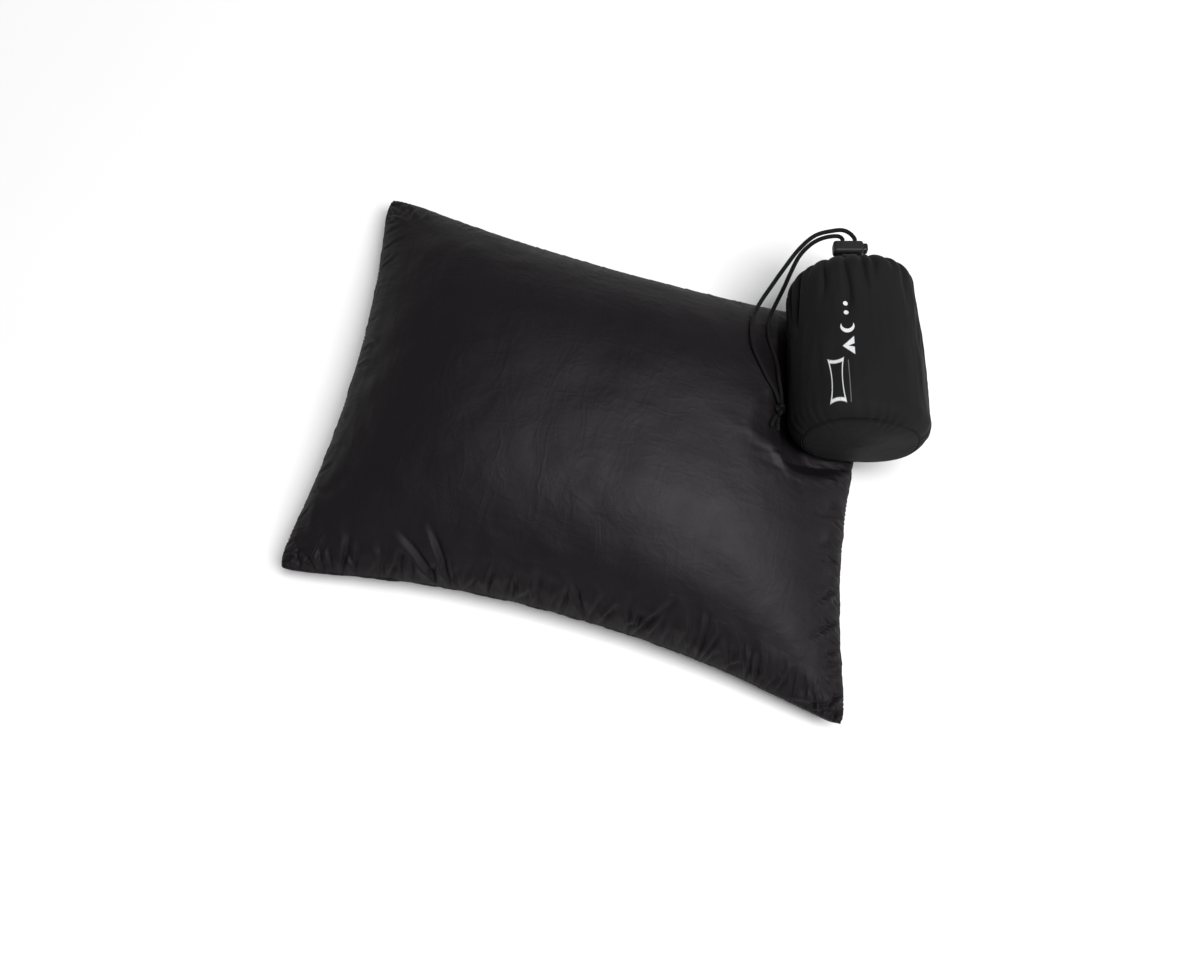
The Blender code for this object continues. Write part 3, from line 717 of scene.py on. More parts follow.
# %% Cords with rounded ends
def cord(name, points, radius, finish, sides=15, closed=False):
    """A round cord through the points. An open one ends in small domes, as heat-cut braid does."""
    points = [Vector(p) for p in points]
    if closed:
        widths = [1.0] * len(points)
    else:
        dome = [(0.0, 0.02), (0.12, 0.45), (0.35, 0.78), (0.7, 0.97)]
        first, last = (points[1] - points[0]).normalized(), (points[-1] - points[-2]).normalized()
        head = [points[0] + first * radius * (far - 1) for far, _ in dome]
        foot = [points[-1] - last * radius * (far - 1) for far, _ in reversed(dome)]
        widths = [w for _, w in dome] + [1.0] * len(points) + [w for _, w in reversed(dome)]
        points = [*head, *points, *foot]
    values = {"Radius": radius, "Sides": sides + 1, "Finish": finish}
    return grown(name, points, cord_tree, values, closed, widths)


strands, cord_tails = {}, {}
for side in ("left", "right"):
    strands[side] = cord("drawcord_" + side, routes[side], CORD_RADIUS, cord_braid)
    cord_tails[side] = cord("cord_tail_" + side, tails[side], CORD_RADIUS, cord_braid)
print("faces on a strand:", len(strands["left"].data.polygons))


# %% The knot
KNOT_POINTS = 72


def knot_points():
    """A tight overhand knot of the doubled cord: a trefoil path, drawn in until its turns touch."""
    points = []
    for turn in np.linspace(0, 2 * math.pi, KNOT_POINTS, endpoint=False).tolist():
        x = math.sin(turn) + 2 * math.sin(2 * turn)
        y = math.cos(turn) - 2 * math.cos(2 * turn)
        z = -math.sin(3 * turn)
        points.append(KNOT + Vector((x * 0.85, y * 1.15, z * 1.9 - 0.1)) * MM)
    return points


knot = cord("cord_knot", knot_points(), CORD_RADIUS * 0.98, cord_braid, closed=True)

# %% The cord inside the hem
RING_RADIUS, RING_HEIGHT, RING_STEPS = 10.4 * MM, 124.7 * MM, 44
front, spread = -math.pi / 2, math.radians(38)  # the ring is open this far either side of the front
ring = []
for i in range(RING_STEPS + 1):
    angle = front + spread + (2 * math.pi - 2 * spread) * i / RING_STEPS
    ring.append((RING_RADIUS * math.cos(angle), RING_RADIUS * math.sin(angle), RING_HEIGHT))
rise = [
    (HOLE_X, HOLE_Y, CORD_START - 1.6 * MM),
    (HOLE_X, HOLE_Y, CORD_START - 1.9 * MM),
    (HOLE_X + 0.5 * MM, HOLE_Y - 0.25 * MM, CORD_START - 2.9 * MM),
]
fall = [(-x, y, z) for x, y, z in reversed(rise)]
hem_cord = cord("cord_in_hem", from_sack(rise + ring + fall), CORD_RADIUS, cord_braid)
print("pieces of cord:", [o.name for o in (*strands.values(), *cord_tails.values(), knot, hem_cord)])


# %% [markdown]
# ## The pillow's shape
#
# Two rectangular panels are sewn together and filled. The filling pulls the sides in between the
# corners, and lifts a crown whose slope is steep near the seam and nearly flat in the middle. The shape
# is a patch: `plan` places a point of the panel seen from above, and `panel_points` says how high it
# is. The lower panel is flat where the floor holds it, and the sack presses a hollow into one corner.
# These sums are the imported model's own, on arrays, so the cloth lies just where the model's panels do.

# %% Heights and hollows
BASE_RADIUS, BASE_CORNER = 43.5 * MM, 12 * MM
SHOULDER_RADIUS, SHOULDER_ROUND, SHOULDER_HEIGHT = 40.5 * MM, 19 * MM, 99.5 * MM
SHOULDER_SWEEP = math.radians(74)
NECK_HEIGHT, NECK_RADIUS = 121.5 * MM, 11 * MM
FRONT_DEPTH, BACK_DEPTH = 0.98, 0.90
SECTION_POWER = 2.3
BASE_SLANT, SHOULDER_SLANT = -0.07, 0.07
BERTH, SACK_GAP = 5 * MM, 1.4 * MM  # how much wider and deeper the hollow is than the sack


def softened(high, low, reach):
    """The lower of two heights, rounded where they cross."""
    near = np.maximum(reach - np.abs(high - low), 0) / reach
    return np.minimum(high, low) - near**2 * reach / 4


def sack_radius(height):
    """The sack's half width at each height above its base."""
    low = BASE_RADIUS - BASE_CORNER + np.sqrt(np.maximum(BASE_CORNER**2 - (BASE_CORNER - height) ** 2, 0))
    share = (height - BASE_CORNER) / (SHOULDER_HEIGHT - BASE_CORNER)
    middle = BASE_RADIUS + share * (SHOULDER_RADIUS - BASE_RADIUS)
    sweep = np.arcsin(np.clip((height - SHOULDER_HEIGHT) / SHOULDER_ROUND, 0, math.sin(SHOULDER_SWEEP)))
    high = SHOULDER_RADIUS - SHOULDER_ROUND * (1 - np.cos(sweep))
    return np.where(height < BASE_CORNER, low, np.where(height < SHOULDER_HEIGHT, middle, high))


def room_under_sack(x, y):
    """The height of the lying sack's underside over each point of the floor."""
    along, across = sack_frame.col[2].xyz, sack_frame.col[0].xyz
    dx, dy = x - SACK_BASE.x, y - SACK_BASE.y
    height = (dx * along.x + dy * along.y) / math.cos(SACK_TILT) ** 2
    side = dx * across.x + dy * across.y
    within = np.clip(height, BASE_CORNER, NECK_HEIGHT)
    depth = BACK_DEPTH * sack_radius(within)
    berth = depth / BACK_DEPTH + BERTH
    hollow = depth * np.maximum(1 - np.abs(side / berth) ** SECTION_POWER, 0) ** (1 / SECTION_POWER)
    past_ends = np.maximum(np.abs(height - within) - BASE_CORNER - BERTH, 0)
    past = np.maximum(np.abs(side) - berth, 0) + past_ends
    return SACK_BASE.z - within * math.sin(SACK_TILT) - hollow + 2.0 * past - SACK_GAP


# %% Outline and crown
HALF_LENGTH, HALF_WIDTH = 184 * MM, 134 * MM
CORNERS = {  # each filled corner's place: the rectangle's own corner, and how far it lies from that
    (-1, -1): (-HALF_LENGTH - 4 * MM, -HALF_WIDTH - 1.5 * MM),
    (1, -1): (HALF_LENGTH + 7 * MM, -HALF_WIDTH - 9 * MM),
    (1, 1): (HALF_LENGTH - 17 * MM, HALF_WIDTH - 5 * MM),
    (-1, 1): (-HALF_LENGTH - 12 * MM, HALF_WIDTH + 7 * MM),
}
PULL_IN = {"near": 22.5 * MM, "far": 17 * MM, "left": 18 * MM, "right": 20.5 * MM}
SEAM_HEIGHT, SEAM_DROP = 28 * MM, 10 * MM
CROWN, BELLY, BLEND, WALL = 61 * MM, 44 * MM, 9 * MM, 1.2 * MM


def side_point(start, end, pull, u):
    """Points on a side from start to end, pulled in towards the pillow's middle."""
    start, end = np.array(start), np.array(end)
    chord = end - start
    inward = np.array([-chord[1], chord[0]]) / np.linalg.norm(chord)
    sag = pull * (1 - np.abs(u) ** 2.15)
    return (start + end) / 2 + chord / 2 * u[..., None] + inward * sag[..., None]


def plan(s, t):
    """The points of the outline's four-sided patch at s, t, seen from above."""
    shrink = 1 - 0.030 * np.abs(s * t) ** 11
    s, t = s * shrink, t * shrink
    near = side_point(CORNERS[-1, -1], CORNERS[1, -1], PULL_IN["near"], s)
    far = side_point(CORNERS[1, 1], CORNERS[-1, 1], PULL_IN["far"], -s)
    left = side_point(CORNERS[-1, 1], CORNERS[-1, -1], PULL_IN["left"], -t)
    right = side_point(CORNERS[1, -1], CORNERS[1, 1], PULL_IN["right"], t)
    a, b = (1 + s[..., None]) / 2, (1 + t[..., None]) / 2
    low = (1 - a) * np.array(CORNERS[-1, -1]) + a * np.array(CORNERS[1, -1])
    high = (1 - a) * np.array(CORNERS[-1, 1]) + a * np.array(CORNERS[1, 1])
    return (1 - b) * near + b * far + (1 - a) * left + a * right - (1 - b) * low - b * high


def fullness(s, t):
    """How much of the crown's height the pillow has: 1 in the middle and 0 along the seam."""
    share = np.maximum(1 - np.abs(s) ** 2.6, 0) * np.maximum(1 - np.abs(t) ** 2.6, 0)
    return share**0.66


def panel_points(s, t, side):
    """The outer skin of the upper (side 1) or lower (side -1) panel."""
    where = plan(s, t)
    seam, room = SEAM_HEIGHT - SEAM_DROP * (s * t) ** 2, room_under_sack(where[..., 0], where[..., 1])
    if side > 0:
        height = softened(seam + CROWN * fullness(s, t), room, BLEND)
    else:
        height = softened(-softened(BELLY * fullness(s, t) - seam, 0 * seam, BLEND), room - 8 * WALL, BLEND)
    rim = softened(seam, room - 4 * WALL, BLEND)
    on_rim = (np.abs(s) == 1) | (np.abs(t) == 1)
    return np.concatenate([where, np.where(on_rim, rim, height)[..., None]], axis=-1)


def crowded(u):
    """Even steps from -1 to 1, drawn closer together towards the seam."""
    return np.clip(u * (1 + 0.16 * (1 - u * u)), -1, 1)


def panel_grid(columns, rows):
    """The s and t of every point of a panel, as two grids."""
    s, t = np.meshgrid(crowded(np.linspace(-1, 1, columns + 1)), crowded(np.linspace(-1, 1, rows + 1)))
    s[:, 0], s[:, -1], t[0], t[-1] = -1, 1, -1, 1
    return s, t


s, t = panel_grid(40, 30)
print("highest point in mm:", round(1000 * panel_points(s, t, 1)[..., 2].max(), 1))


# %% [markdown]
# ## Folds along the seam
#
# Stitching draws a seam a little shorter than the cloth beside it. The spare cloth stands up in folds
# that start in the seam, narrow and deep, and fade out a few centimetres into the panel. They lean one
# way or the other. The strongest ones, most of them on the near and right sides, are placed one by one,
# and a seeded draw fills in small ones all the way round. A fold is a crest with a valley beside it,
# carried along a short line, and the folds move the skin along its own normal.

# %% A fold and where the folds are
FOLDS = {  # side: (place from -1 to 1, lean in degrees, length, half width and height in mm)
    "near": [
        (-0.955, -34, 11, 1.8, 1.5), (-0.918, -40, 15, 2.0, 1.9), (-0.830, -26, 15, 2.2, 1.8),
        (-0.766, 6, 23, 2.4, 2.2), (-0.711, -38, 15, 2.2, 1.7), (-0.608, 27, 21, 2.6, 2.5),
        (-0.520, -20, 13, 2.2, 1.6), (-0.440, -54, 38, 3.0, 3.0), (-0.395, -34, 36, 2.6, 2.8),
        (-0.350, 42, 12, 2.0, 1.6), (-0.278, 10, 9, 1.8, 1.3), (-0.185, 54, 15, 2.0, 1.7),
        (-0.080, -56, 11, 1.9, 1.4), (0.058, -42, 22, 2.3, 2.4), (0.113, 32, 13, 2.0, 1.6),
        (0.225, 36, 32, 2.4, 2.6), (0.275, 20, 15, 2.2, 1.7), (0.360, -30, 12, 2.0, 1.2),
        (0.450, -12, 24, 2.2, 1.9), (0.480, 30, 10, 1.8, 1.2), (0.560, -18, 9, 1.8, 1.1),
        (0.620, -14, 10, 1.9, 1.5), (0.690, 16, 10, 1.8, 1.2), (0.780, 62, 30, 2.4, 1.9),
        (0.850, 56, 25, 2.3, 2.1), (0.915, 38, 16, 2.0, 1.8), (0.960, 30, 9, 1.8, 1.5),
    ],
    "right": [
        (-0.945, -20, 11, 1.9, 1.6), (-0.845, -36, 25, 2.3, 2.3), (-0.740, -18, 12, 2.0, 1.3),
        (-0.640, 14, 13, 2.2, 1.3), (-0.520, -40, 26, 2.5, 2.0), (-0.375, -44, 21, 2.5, 1.8),
        (-0.290, 20, 14, 2.2, 1.3), (-0.205, 16, 14, 2.1, 1.5), (-0.110, 10, 24, 2.5, 2.0),
        (0.000, -24, 13, 2.2, 1.4), (0.090, 14, 24, 2.6, 2.2), (0.190, 24, 18, 2.4, 1.8),
    ],
    "far": [
        (-0.900, 40, 18, 2.2, 1.1), (-0.820, 30, 14, 2.2, 0.9), (-0.650, 10, 12, 2.2, 0.7),
    ],
    "left": [
        (-0.900, 30, 18, 2.2, 1.3), (-0.960, 40, 12, 2.0, 1.3), (0.880, -34, 20, 2.3, 1.1),
        (0.950, -42, 15, 2.0, 1.1),
    ],
}
SMALL_FOLDS = {  # side: (how many, height in mm)
    "near": (50, 1.6), "right": (34, 1.5), "far": (34, 0.5), "left": (34, 0.7),
}
MOST_LIFT = 2.6 * MM  # where folds cross they don't add up to a spike
TOP_SEED, LOW_SEED = 4, 9


def side_place(side, u):
    """s and t of a place on a side, counted so that more is to the right or further away."""
    return {"near": (u, -1.0), "far": (u, 1.0), "left": (-1.0, u), "right": (1.0, u)}[side]


def seam_spot(side, u):
    """A place on the seam seen from above, and the ways along the seam and into the pillow."""
    here, ahead = (plan(*np.array(side_place(side, v))[:, None])[0] for v in (u - 0.004, u + 0.004))
    along = (ahead - here) / np.linalg.norm(ahead - here)
    inward = np.array([-along[1], along[0]]) * {"near": 1, "far": -1, "left": -1, "right": 1}[side]
    return (here + ahead) / 2, along, inward


def fold_lines(seed, bold):
    """Every fold of one panel as (start, direction, length, half width, height), in metres. Where a panel
    isn't bold, its placed folds lean the other way and are lower."""
    draw = np.random.default_rng(seed)
    lines = []
    for side, (count, strength) in SMALL_FOLDS.items():
        placed = list(FOLDS[side])
        if not bold:
            placed = [(u, -lean, size, wide, 0.75 * tall) for u, lean, size, wide, tall in placed]
        for i in range(count):
            u = -0.98 + 1.96 * (i + draw.uniform(0.1, 0.9)) / count
            lean, size = draw.normal(0, 30), draw.uniform(7, 20)
            placed.append((u, lean, size, draw.uniform(1.7, 2.9), strength * draw.uniform(0.35, 1.15)))
        for u, lean, size, wide, tall in placed:
            start, along, inward = seam_spot(side, u)
            angle = math.radians(lean)
            direction = inward * math.cos(angle) + along * math.sin(angle)
            lines.append((start, direction, size * MM, wide * MM, tall * MM))
    return lines


def fold_heights(points, lines):
    """How far the folds lift each point of a panel off its smooth shape."""
    lifted = np.zeros(points.shape[:2])
    for start, direction, size, wide, tall in lines:
        away = points[..., :2] - start
        far = (away @ direction) / size
        beside = away[..., 0] * direction[1] - away[..., 1] * direction[0]
        bow = 0.08 * size * far * (1 - far)
        width = wide * (0.5 + 0.8 * np.clip(far, 0, 1))
        cross = (beside - bow) / width
        crest = np.exp(-np.abs(cross) ** 1.35) - 1.15 * np.exp(-((np.abs(cross - 1.25) / 0.7) ** 1.5))
        fade = np.clip(far / 0.14 + 0.55, 0, 1) * np.clip(1 - far, 0, 1) ** 0.9 * (far > -0.3)
        lifted += 1.7 * tall * crest * fade
    return MOST_LIFT * np.tanh(lifted / MOST_LIFT)


print("folds on the upper panel:", len(fold_lines(TOP_SEED, True)))


# %% [markdown]
# ## Cloth simulation
#
# Both panels are cut larger than the outline they are sewn to. A Cloth simulation blows the sewn shell
# up with a little pressure: its rest shape is the flat cut, its seam is pinned, and the spare cloth
# finds its own dents and creases round the folds. What the simulation adds is kept as relief only:
# the broad swelling is taken out again, so that the pillow stays the size that it was measured at.

# %% Sew the shell and blow it up
COLUMNS, ROWS = 104, 78
PRESSURE, FRAMES, MOST_RELIEF = 2.2, 18, 2.4 * MM
FOLD_START = 6 * MM  # how far from the seam a fold has its full height


def shell_faces(rows, columns):
    """The two panels' faces over shared seam points: how both grids are numbered, and the faces."""
    top = np.arange((rows + 1) * (columns + 1)).reshape(rows + 1, columns + 1)
    low = top.copy()
    low[1:-1, 1:-1] = top.max() + 1 + np.arange((rows - 1) * (columns - 1)).reshape(rows - 1, columns - 1)
    corners = [(slice(None, -1), slice(None, -1)), (slice(None, -1), slice(1, None)),
               (slice(1, None), slice(1, None)), (slice(1, None), slice(None, -1))]
    up = np.stack([top[c].ravel() for c in corners], axis=1)
    down = np.stack([low[c].ravel() for c in corners], axis=1)[:, ::-1]
    return top, low, np.concatenate([up, down])


def normals_of(grid):
    """The direction that a grid of points faces at each of them."""
    across, along = np.gradient(grid, axis=1), np.gradient(grid, axis=0)
    normal = np.cross(across, along)
    return normal / np.maximum(np.linalg.norm(normal, axis=-1, keepdims=True), 1e-12)


def from_seam(s, t, reach):
    """0 on the seam and 1 from this reach inwards, so that nothing bulges over the outline."""
    away = np.minimum((1 - np.abs(s)) * HALF_LENGTH, (1 - np.abs(t)) * HALF_WIDTH)
    return np.clip(away / reach, 0, 1)


def folded_panel(s, t, side):
    """A panel with its folds, before the simulation. The seam keeps its own line."""
    points = panel_points(s, t, side)
    heights = fold_heights(points, fold_lines(TOP_SEED if side > 0 else LOW_SEED, side > 0))
    outward = normals_of(points) * side
    covered = room_under_sack(points[..., 0], points[..., 1]) - points[..., 2]
    free = np.clip((covered - 2 * MM) / (8 * MM), 0, 1)
    return points + outward * (heights * free * from_seam(s, t, FOLD_START))[..., None]


def blown_up(top_points, low_points, s, t):
    """The sewn shell after the simulation, as the two panels' grids."""
    rows, columns = s.shape[0] - 1, s.shape[1] - 1
    top, low, faces = shell_faces(rows, columns)
    start, flat = np.zeros((low.max() + 1, 3)), np.zeros((low.max() + 1, 3))
    start[low], start[top] = low_points, top_points
    cut = np.stack([s * CUT_LENGTH / 2, t * CUT_WIDTH / 2, 0 * s], axis=-1)
    flat[low], flat[top] = cut - (0, 0, 0.1 * MM), cut + (0, 0, 0.1 * MM)
    mesh = bpy.data.meshes.new("shell_trial")
    mesh.from_pydata(start.tolist(), [], faces.tolist())
    trial = bpy.data.objects.new("shell_trial", mesh)
    scene.collection.objects.link(trial)
    trial.shape_key_add(name="sewn")
    trial.shape_key_add(name="cut").data.foreach_set("co", flat.ravel())
    trial.data.shape_keys.key_blocks["cut"].value = 0
    seam = trial.vertex_groups.new(name="seam")
    seam.add(np.unique(np.concatenate([top[0], top[-1], top[:, 0], top[:, -1]])).tolist(), 1.0, "REPLACE")
    cloth = trial.modifiers.new("cloth", "CLOTH")
    cloth.settings.quality = 6
    cloth.settings.mass = 0.12
    cloth.settings.tension_stiffness, cloth.settings.compression_stiffness = 15, 6
    cloth.settings.shear_stiffness, cloth.settings.bending_stiffness = 4, 0.015
    cloth.settings.use_pressure = True
    cloth.settings.uniform_pressure_force = PRESSURE
    cloth.settings.vertex_group_mass = "seam"
    cloth.settings.rest_shape_key = trial.data.shape_keys.key_blocks["cut"]
    cloth.settings.effector_weights.gravity = 0
    cloth.point_cache.frame_end = FRAMES + 1
    for step in range(1, FRAMES + 1):
        scene.frame_set(step)
    graph = bpy.context.evaluated_depsgraph_get()
    applied = bpy.data.meshes.new_from_object(trial.evaluated_get(graph), depsgraph=graph)
    settled = np.empty(len(applied.vertices) * 3)
    applied.vertices.foreach_get("co", settled)
    settled = settled.reshape(-1, 3)
    scene.frame_set(1)
    bpy.data.objects.remove(trial, do_unlink=True)
    return settled[top] - start[top], settled[low] - start[low]


def relief_only(moved, passes=60):
    """What is left of a movement after its broad part, found by blurring, is taken out. It is capped."""
    broad = moved.copy()
    for _ in range(passes):
        for axis in (0, 1):
            first, last = broad.take([1], axis), broad.take([-2], axis)
            padded = np.concatenate([-first, broad, -last], axis)
            count = padded.shape[axis]
            broad = (
                padded.take(range(0, count - 2), axis) + 2 * broad + padded.take(range(2, count), axis)
            ) / 4
    relief = moved - broad
    size = np.linalg.norm(relief, axis=-1, keepdims=True)
    return relief * np.minimum(1, MOST_RELIEF / np.maximum(size, 1e-9))


s, t = panel_grid(COLUMNS, ROWS)
reliefs = [np.zeros((ROWS + 1, COLUMNS + 1, 3))] * 2
reliefs = [relief_only(moved) for moved in blown_up(folded_panel(s, t, 1), folded_panel(s, t, -1), s, t)]
print("relief from the simulation in mm:", [round(1000 * float(np.abs(r).max()), 2) for r in reliefs])


# %% [markdown]
# ## The pillow's cover
#
# The finished cover is built four times as fine as the simulated shell: the smooth shape, its folds, the
# simulated relief and a slight lumpiness of the fibre, all along the skin's normal. Near the cords and
# under the sack the relief fades, because there the cloth is pressed flat, and the cords and the knot
# press it down a little. It is one closed mesh with both panels meeting in the seam, and its map
# "cloth" holds metres on the flat cut, so that the weave has its true size.

# %% Build the cover
def smoothstep(low, high, x):
    """0 below low and 1 above high, with a smooth change between."""
    share = np.clip((x - low) / (high - low), 0, 1)
    return share * share * (3 - 2 * share)


def refined(field):
    """A grid of values at twice the resolution."""
    rows, columns = field.shape[0] * 2 - 1, field.shape[1] * 2 - 1
    fine = np.zeros((rows, columns, field.shape[2]))
    fine[::2, ::2] = field
    fine[1::2, ::2] = (field[1:] + field[:-1]) / 2
    fine[:, 1::2] = (fine[:, :-1:2] + fine[:, 2::2]) / 2
    return fine


def lumps(points, scale, seed):
    """Smooth noise from -1 to 1 at each point of a grid."""
    flat = points.reshape(-1, 3) / scale + (seed * 17.3, seed * 5.1, seed * 9.7)
    return np.array([noise.noise(p) for p in flat.tolist()]).reshape(points.shape[:-1])


KNOT_RADIUS = 3.9 * MM
cord_points = np.array([p for route in (*routes.values(), *tails.values()) for p in route] + [KNOT])


def clear_of_cords(points):
    """0 beside a cord and 1 from a finger's width away, seen from above."""
    nearest = np.full(points.shape[:-1], 1.0)
    for place in cord_points:
        nearest = np.minimum(nearest, np.linalg.norm(points - place, axis=-1))
    return np.clip((nearest - 5 * MM) / (9 * MM), 0, 1)


def pressed_by_cords(points):
    """The panel's points, pushed down softly where a cord or the knot lies on the cloth."""
    lowered = np.zeros(points.shape[:2])
    radii = [CORD_RADIUS] * (len(cord_points) - 1) + [KNOT_RADIUS]
    for place, radius in zip(cord_points, radii):
        away = np.linalg.norm(points[..., :2] - place[:2], axis=-1)
        nearest = np.unravel_index(away.argmin(), away.shape)
        if away[nearest] < 3 * MM:
            too_high = points[nearest][2] - (place[2] - radius + 0.15 * MM)
            lowered = np.maximum(lowered, too_high * (1 - smoothstep(0.6 * radius, 15 * MM + radius, away)))
    return points - lowered[..., None] * (0, 0, 1)


def cover_panel(side, relief):
    """The finished points of the upper (side 1) or lower (side -1) panel."""
    fine_s, fine_t = panel_grid(4 * COLUMNS, 4 * ROWS)
    smooth = panel_points(fine_s, fine_t, side)
    near_seam = smoothstep(0.45, 0.85, np.maximum(np.abs(fine_s), np.abs(fine_t)))
    relief = refined(refined(relief)) * (0.4 + 0.6 * near_seam)[..., None]
    points = folded_panel(fine_s, fine_t, side) + relief
    inside = from_seam(fine_s, fine_t, 12 * MM)
    soft = 1.1 * lumps(smooth, 46 * MM, 2 + side) + 0.45 * lumps(smooth, 17 * MM, 5 + side)
    beside_seam = 1 - from_seam(fine_s, fine_t, 42 * MM)
    soft += 1.5 * lumps(smooth, 11 * MM, 8 + side) * beside_seam * (1.3 - fine_t) / 2
    points += normals_of(smooth) * side * (soft * inside * MM)[..., None]
    free = clear_of_cords(points)[..., None] if side > 0 else 1.0
    points = smooth + (points - smooth) * free
    points = pressed_by_cords(points) if side > 0 else points
    ceiling = room_under_sack(points[..., 0], points[..., 1]) - (0.2 * MM if side > 0 else 6 * WALL)
    points[..., 2] = np.minimum(points[..., 2], np.maximum(ceiling, 0.5 * MM))
    points[..., 2] = np.maximum(points[..., 2], 0.0)
    return points


def cover_mesh(panels):
    """Both panels as one closed mesh with its map."""
    rows, columns = panels[0].shape[0] - 1, panels[0].shape[1] - 1
    top, low, faces = shell_faces(rows, columns)
    points = np.zeros((low.max() + 1, 3))
    points[low], points[top] = panels[1], panels[0]
    mesh = bpy.data.meshes.new("pillow_cover")
    mesh.from_pydata(points.tolist(), [], faces.tolist())
    fine_s, fine_t = panel_grid(columns, rows)
    flat = np.zeros((len(points), 2))
    for numbers in (low, top):
        flat[numbers] = np.stack([fine_s * CUT_LENGTH / 2, fine_t * CUT_WIDTH / 2], axis=-1)
    loops = flat[faces.ravel()]
    loops[len(loops) // 2:, 0] += PANELS_APART
    mesh.uv_layers.new(name="cloth").data.foreach_set("uv", loops.ravel())
    mesh.shade_smooth()
    return mesh


panels = [cover_panel(1, reliefs[0]), cover_panel(-1, reliefs[1])]
cover_data = cover_mesh(panels)
cover_data.materials.append(shell_nylon)
cover = bpy.data.objects.new("pillow_cover", cover_data)
scene.collection.objects.link(cover)
print("cover:", len(cover_data.polygons), "faces, top at", round(1000 * panels[0][..., 2].max(), 1), "mm")


# %% [markdown]
# ## The turned seam
#
# The panels are sewn face to face and turned, so all that shows is a thin rolled edge, a little uneven
# where the folds run in, with the lock stitches just visible in its crease. The roll is a fine cord of
# the shell cloth along the seam points of the cover, and the stitches follow the same points.

# %% Seam roll and stitches
def seam_line(points):
    """The points of the seam, once round, from a panel's grid."""
    return np.concatenate([points[0, :-1], points[:-1, -1], points[-1, :0:-1], points[:0:-1, 0]])


seam_points = seam_line(panels[0])
wobble = np.array([
    noise.noise((x * 85, y * 85, 3.0)) + 0.5 * noise.noise((x * 260, y * 260, 3.0))
    for x, y, _ in seam_points.tolist()
])
middle = seam_points.mean(axis=0)
outwards = seam_points - middle
outwards[:, 2] = 0
outwards /= np.linalg.norm(outwards, axis=1, keepdims=True)
roll_points = seam_points + outwards * (1.0 * wobble[:, None] - 0.45) * MM
seam_roll = cord("edge_seam_roll", roll_points, 0.85 * MM, shell_nylon, sides=8, closed=True)
stitch_points = seam_points + outwards * 0.1 * MM + np.array([0, 0, 0.62 * MM])
edge_stitches = grown("edge_stitches", stitch_points, stitch_tree, {
    "Spacing": 3.0 * MM, "Stitch Length": 2.1 * MM, "Thread Radius": 0.17 * MM, "Finish": seam_thread,
}, closed=True)
seam_length = np.linalg.norm(np.diff(seam_points, axis=0, append=seam_points[:1]), axis=1).sum()
FACES_PER_STITCH = 30
print("seam:", round(seam_length, 3), "m,", len(edge_stitches.data.polygons) // FACES_PER_STITCH, "stitches")


# %% [markdown]
# ## The stuff sack
#
# The sack is a tube of cloth on a round base, with its mouth gathered into a neck. It is lofted: a
# profile from the base seam to the neck is carried round, and the section is squared off a little. Then
# the skin is moved along its normal. Pleats are narrow valleys that run down from the neck and fade, each
# one to its own length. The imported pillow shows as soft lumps, and the seams draw small puckers.

# %% Profile, pleats and puckers
def sack_section(points):
    """Points of a round, straight sack, moved to the real one's squarer section and askew ends."""
    x, y, z = points[..., 0], points[..., 1], points[..., 2]
    across = np.maximum(np.hypot(x, y), 1e-9)
    squarer = np.abs(x / across) ** SECTION_POWER + np.abs(y / across) ** SECTION_POWER
    squarer = np.maximum(squarer, 1e-3) ** (-1 / SECTION_POWER)
    share = np.minimum(across / SHOULDER_RADIUS, 1)
    depth = np.where(y < 0, FRONT_DEPTH, BACK_DEPTH)
    new_x = x * (1 + (squarer - 1) * share)
    new_y = y * (1 + (squarer - 1) * share) * (1 + (depth - 1) * share)
    way_up = np.clip(z / SHOULDER_HEIGHT, 0, 1)
    slant = BASE_SLANT * (1 - way_up) + SHOULDER_SLANT * way_up * share**2
    return np.stack([new_x, new_y, z + slant * new_x], axis=-1)


def arc(centre, radius, start, end, steps):
    """Points on an arc of a profile."""
    angles = np.linspace(start, end, steps + 1)
    return np.stack([centre[0] + radius * np.cos(angles), centre[1] + radius * np.sin(angles)], axis=1)


def spaced_profile(corners, spacing):
    """A profile of (radius, height) points at even steps."""
    corners = np.array(corners)
    steps = np.linalg.norm(np.diff(corners, axis=0), axis=1)
    way = np.concatenate([[0], np.cumsum(steps)])
    spots = np.linspace(0, way[-1], max(2, round(way[-1] / spacing)) + 1)
    return np.stack([np.interp(spots, way, corners[:, i]) for i in (0, 1)], axis=1)


SEAM_ANGLE = math.radians(-68)  # where on the base's rounded corner its seam lies
SACK_COLUMNS = 300
mouth_rim = (NECK_RADIUS - 1.2 * MM, NECK_HEIGHT + 2 * MM)
base_centre = (BASE_RADIUS - BASE_CORNER, BASE_CORNER)
shoulder_centre = (SHOULDER_RADIUS - SHOULDER_ROUND, SHOULDER_HEIGHT)
wall_corners = np.concatenate([
    arc(base_centre, BASE_CORNER, SEAM_ANGLE, 0, 12),
    arc(shoulder_centre, SHOULDER_ROUND, 0, SHOULDER_SWEEP, 20),
    [(NECK_RADIUS + 1.5 * MM, NECK_HEIGHT - 1.2 * MM), (NECK_RADIUS, NECK_HEIGHT), mouth_rim],
])
wall_profile = spaced_profile(wall_corners, 1.15 * MM)
mouth_corners = [
    mouth_rim, (8.0 * MM, 125.2 * MM), (6.8 * MM, 127.2 * MM),
    (4.2 * MM, 127.0 * MM), (1.8 * MM, 125.2 * MM), (0, 123.6 * MM),
]
mouth_profile = spaced_profile(mouth_corners, 0.6 * MM)[1:]
inner_profile = spaced_profile([(0, 1.5 * MM), (wall_corners[0][0] * 0.97, 2.2 * MM)], 6 * MM)
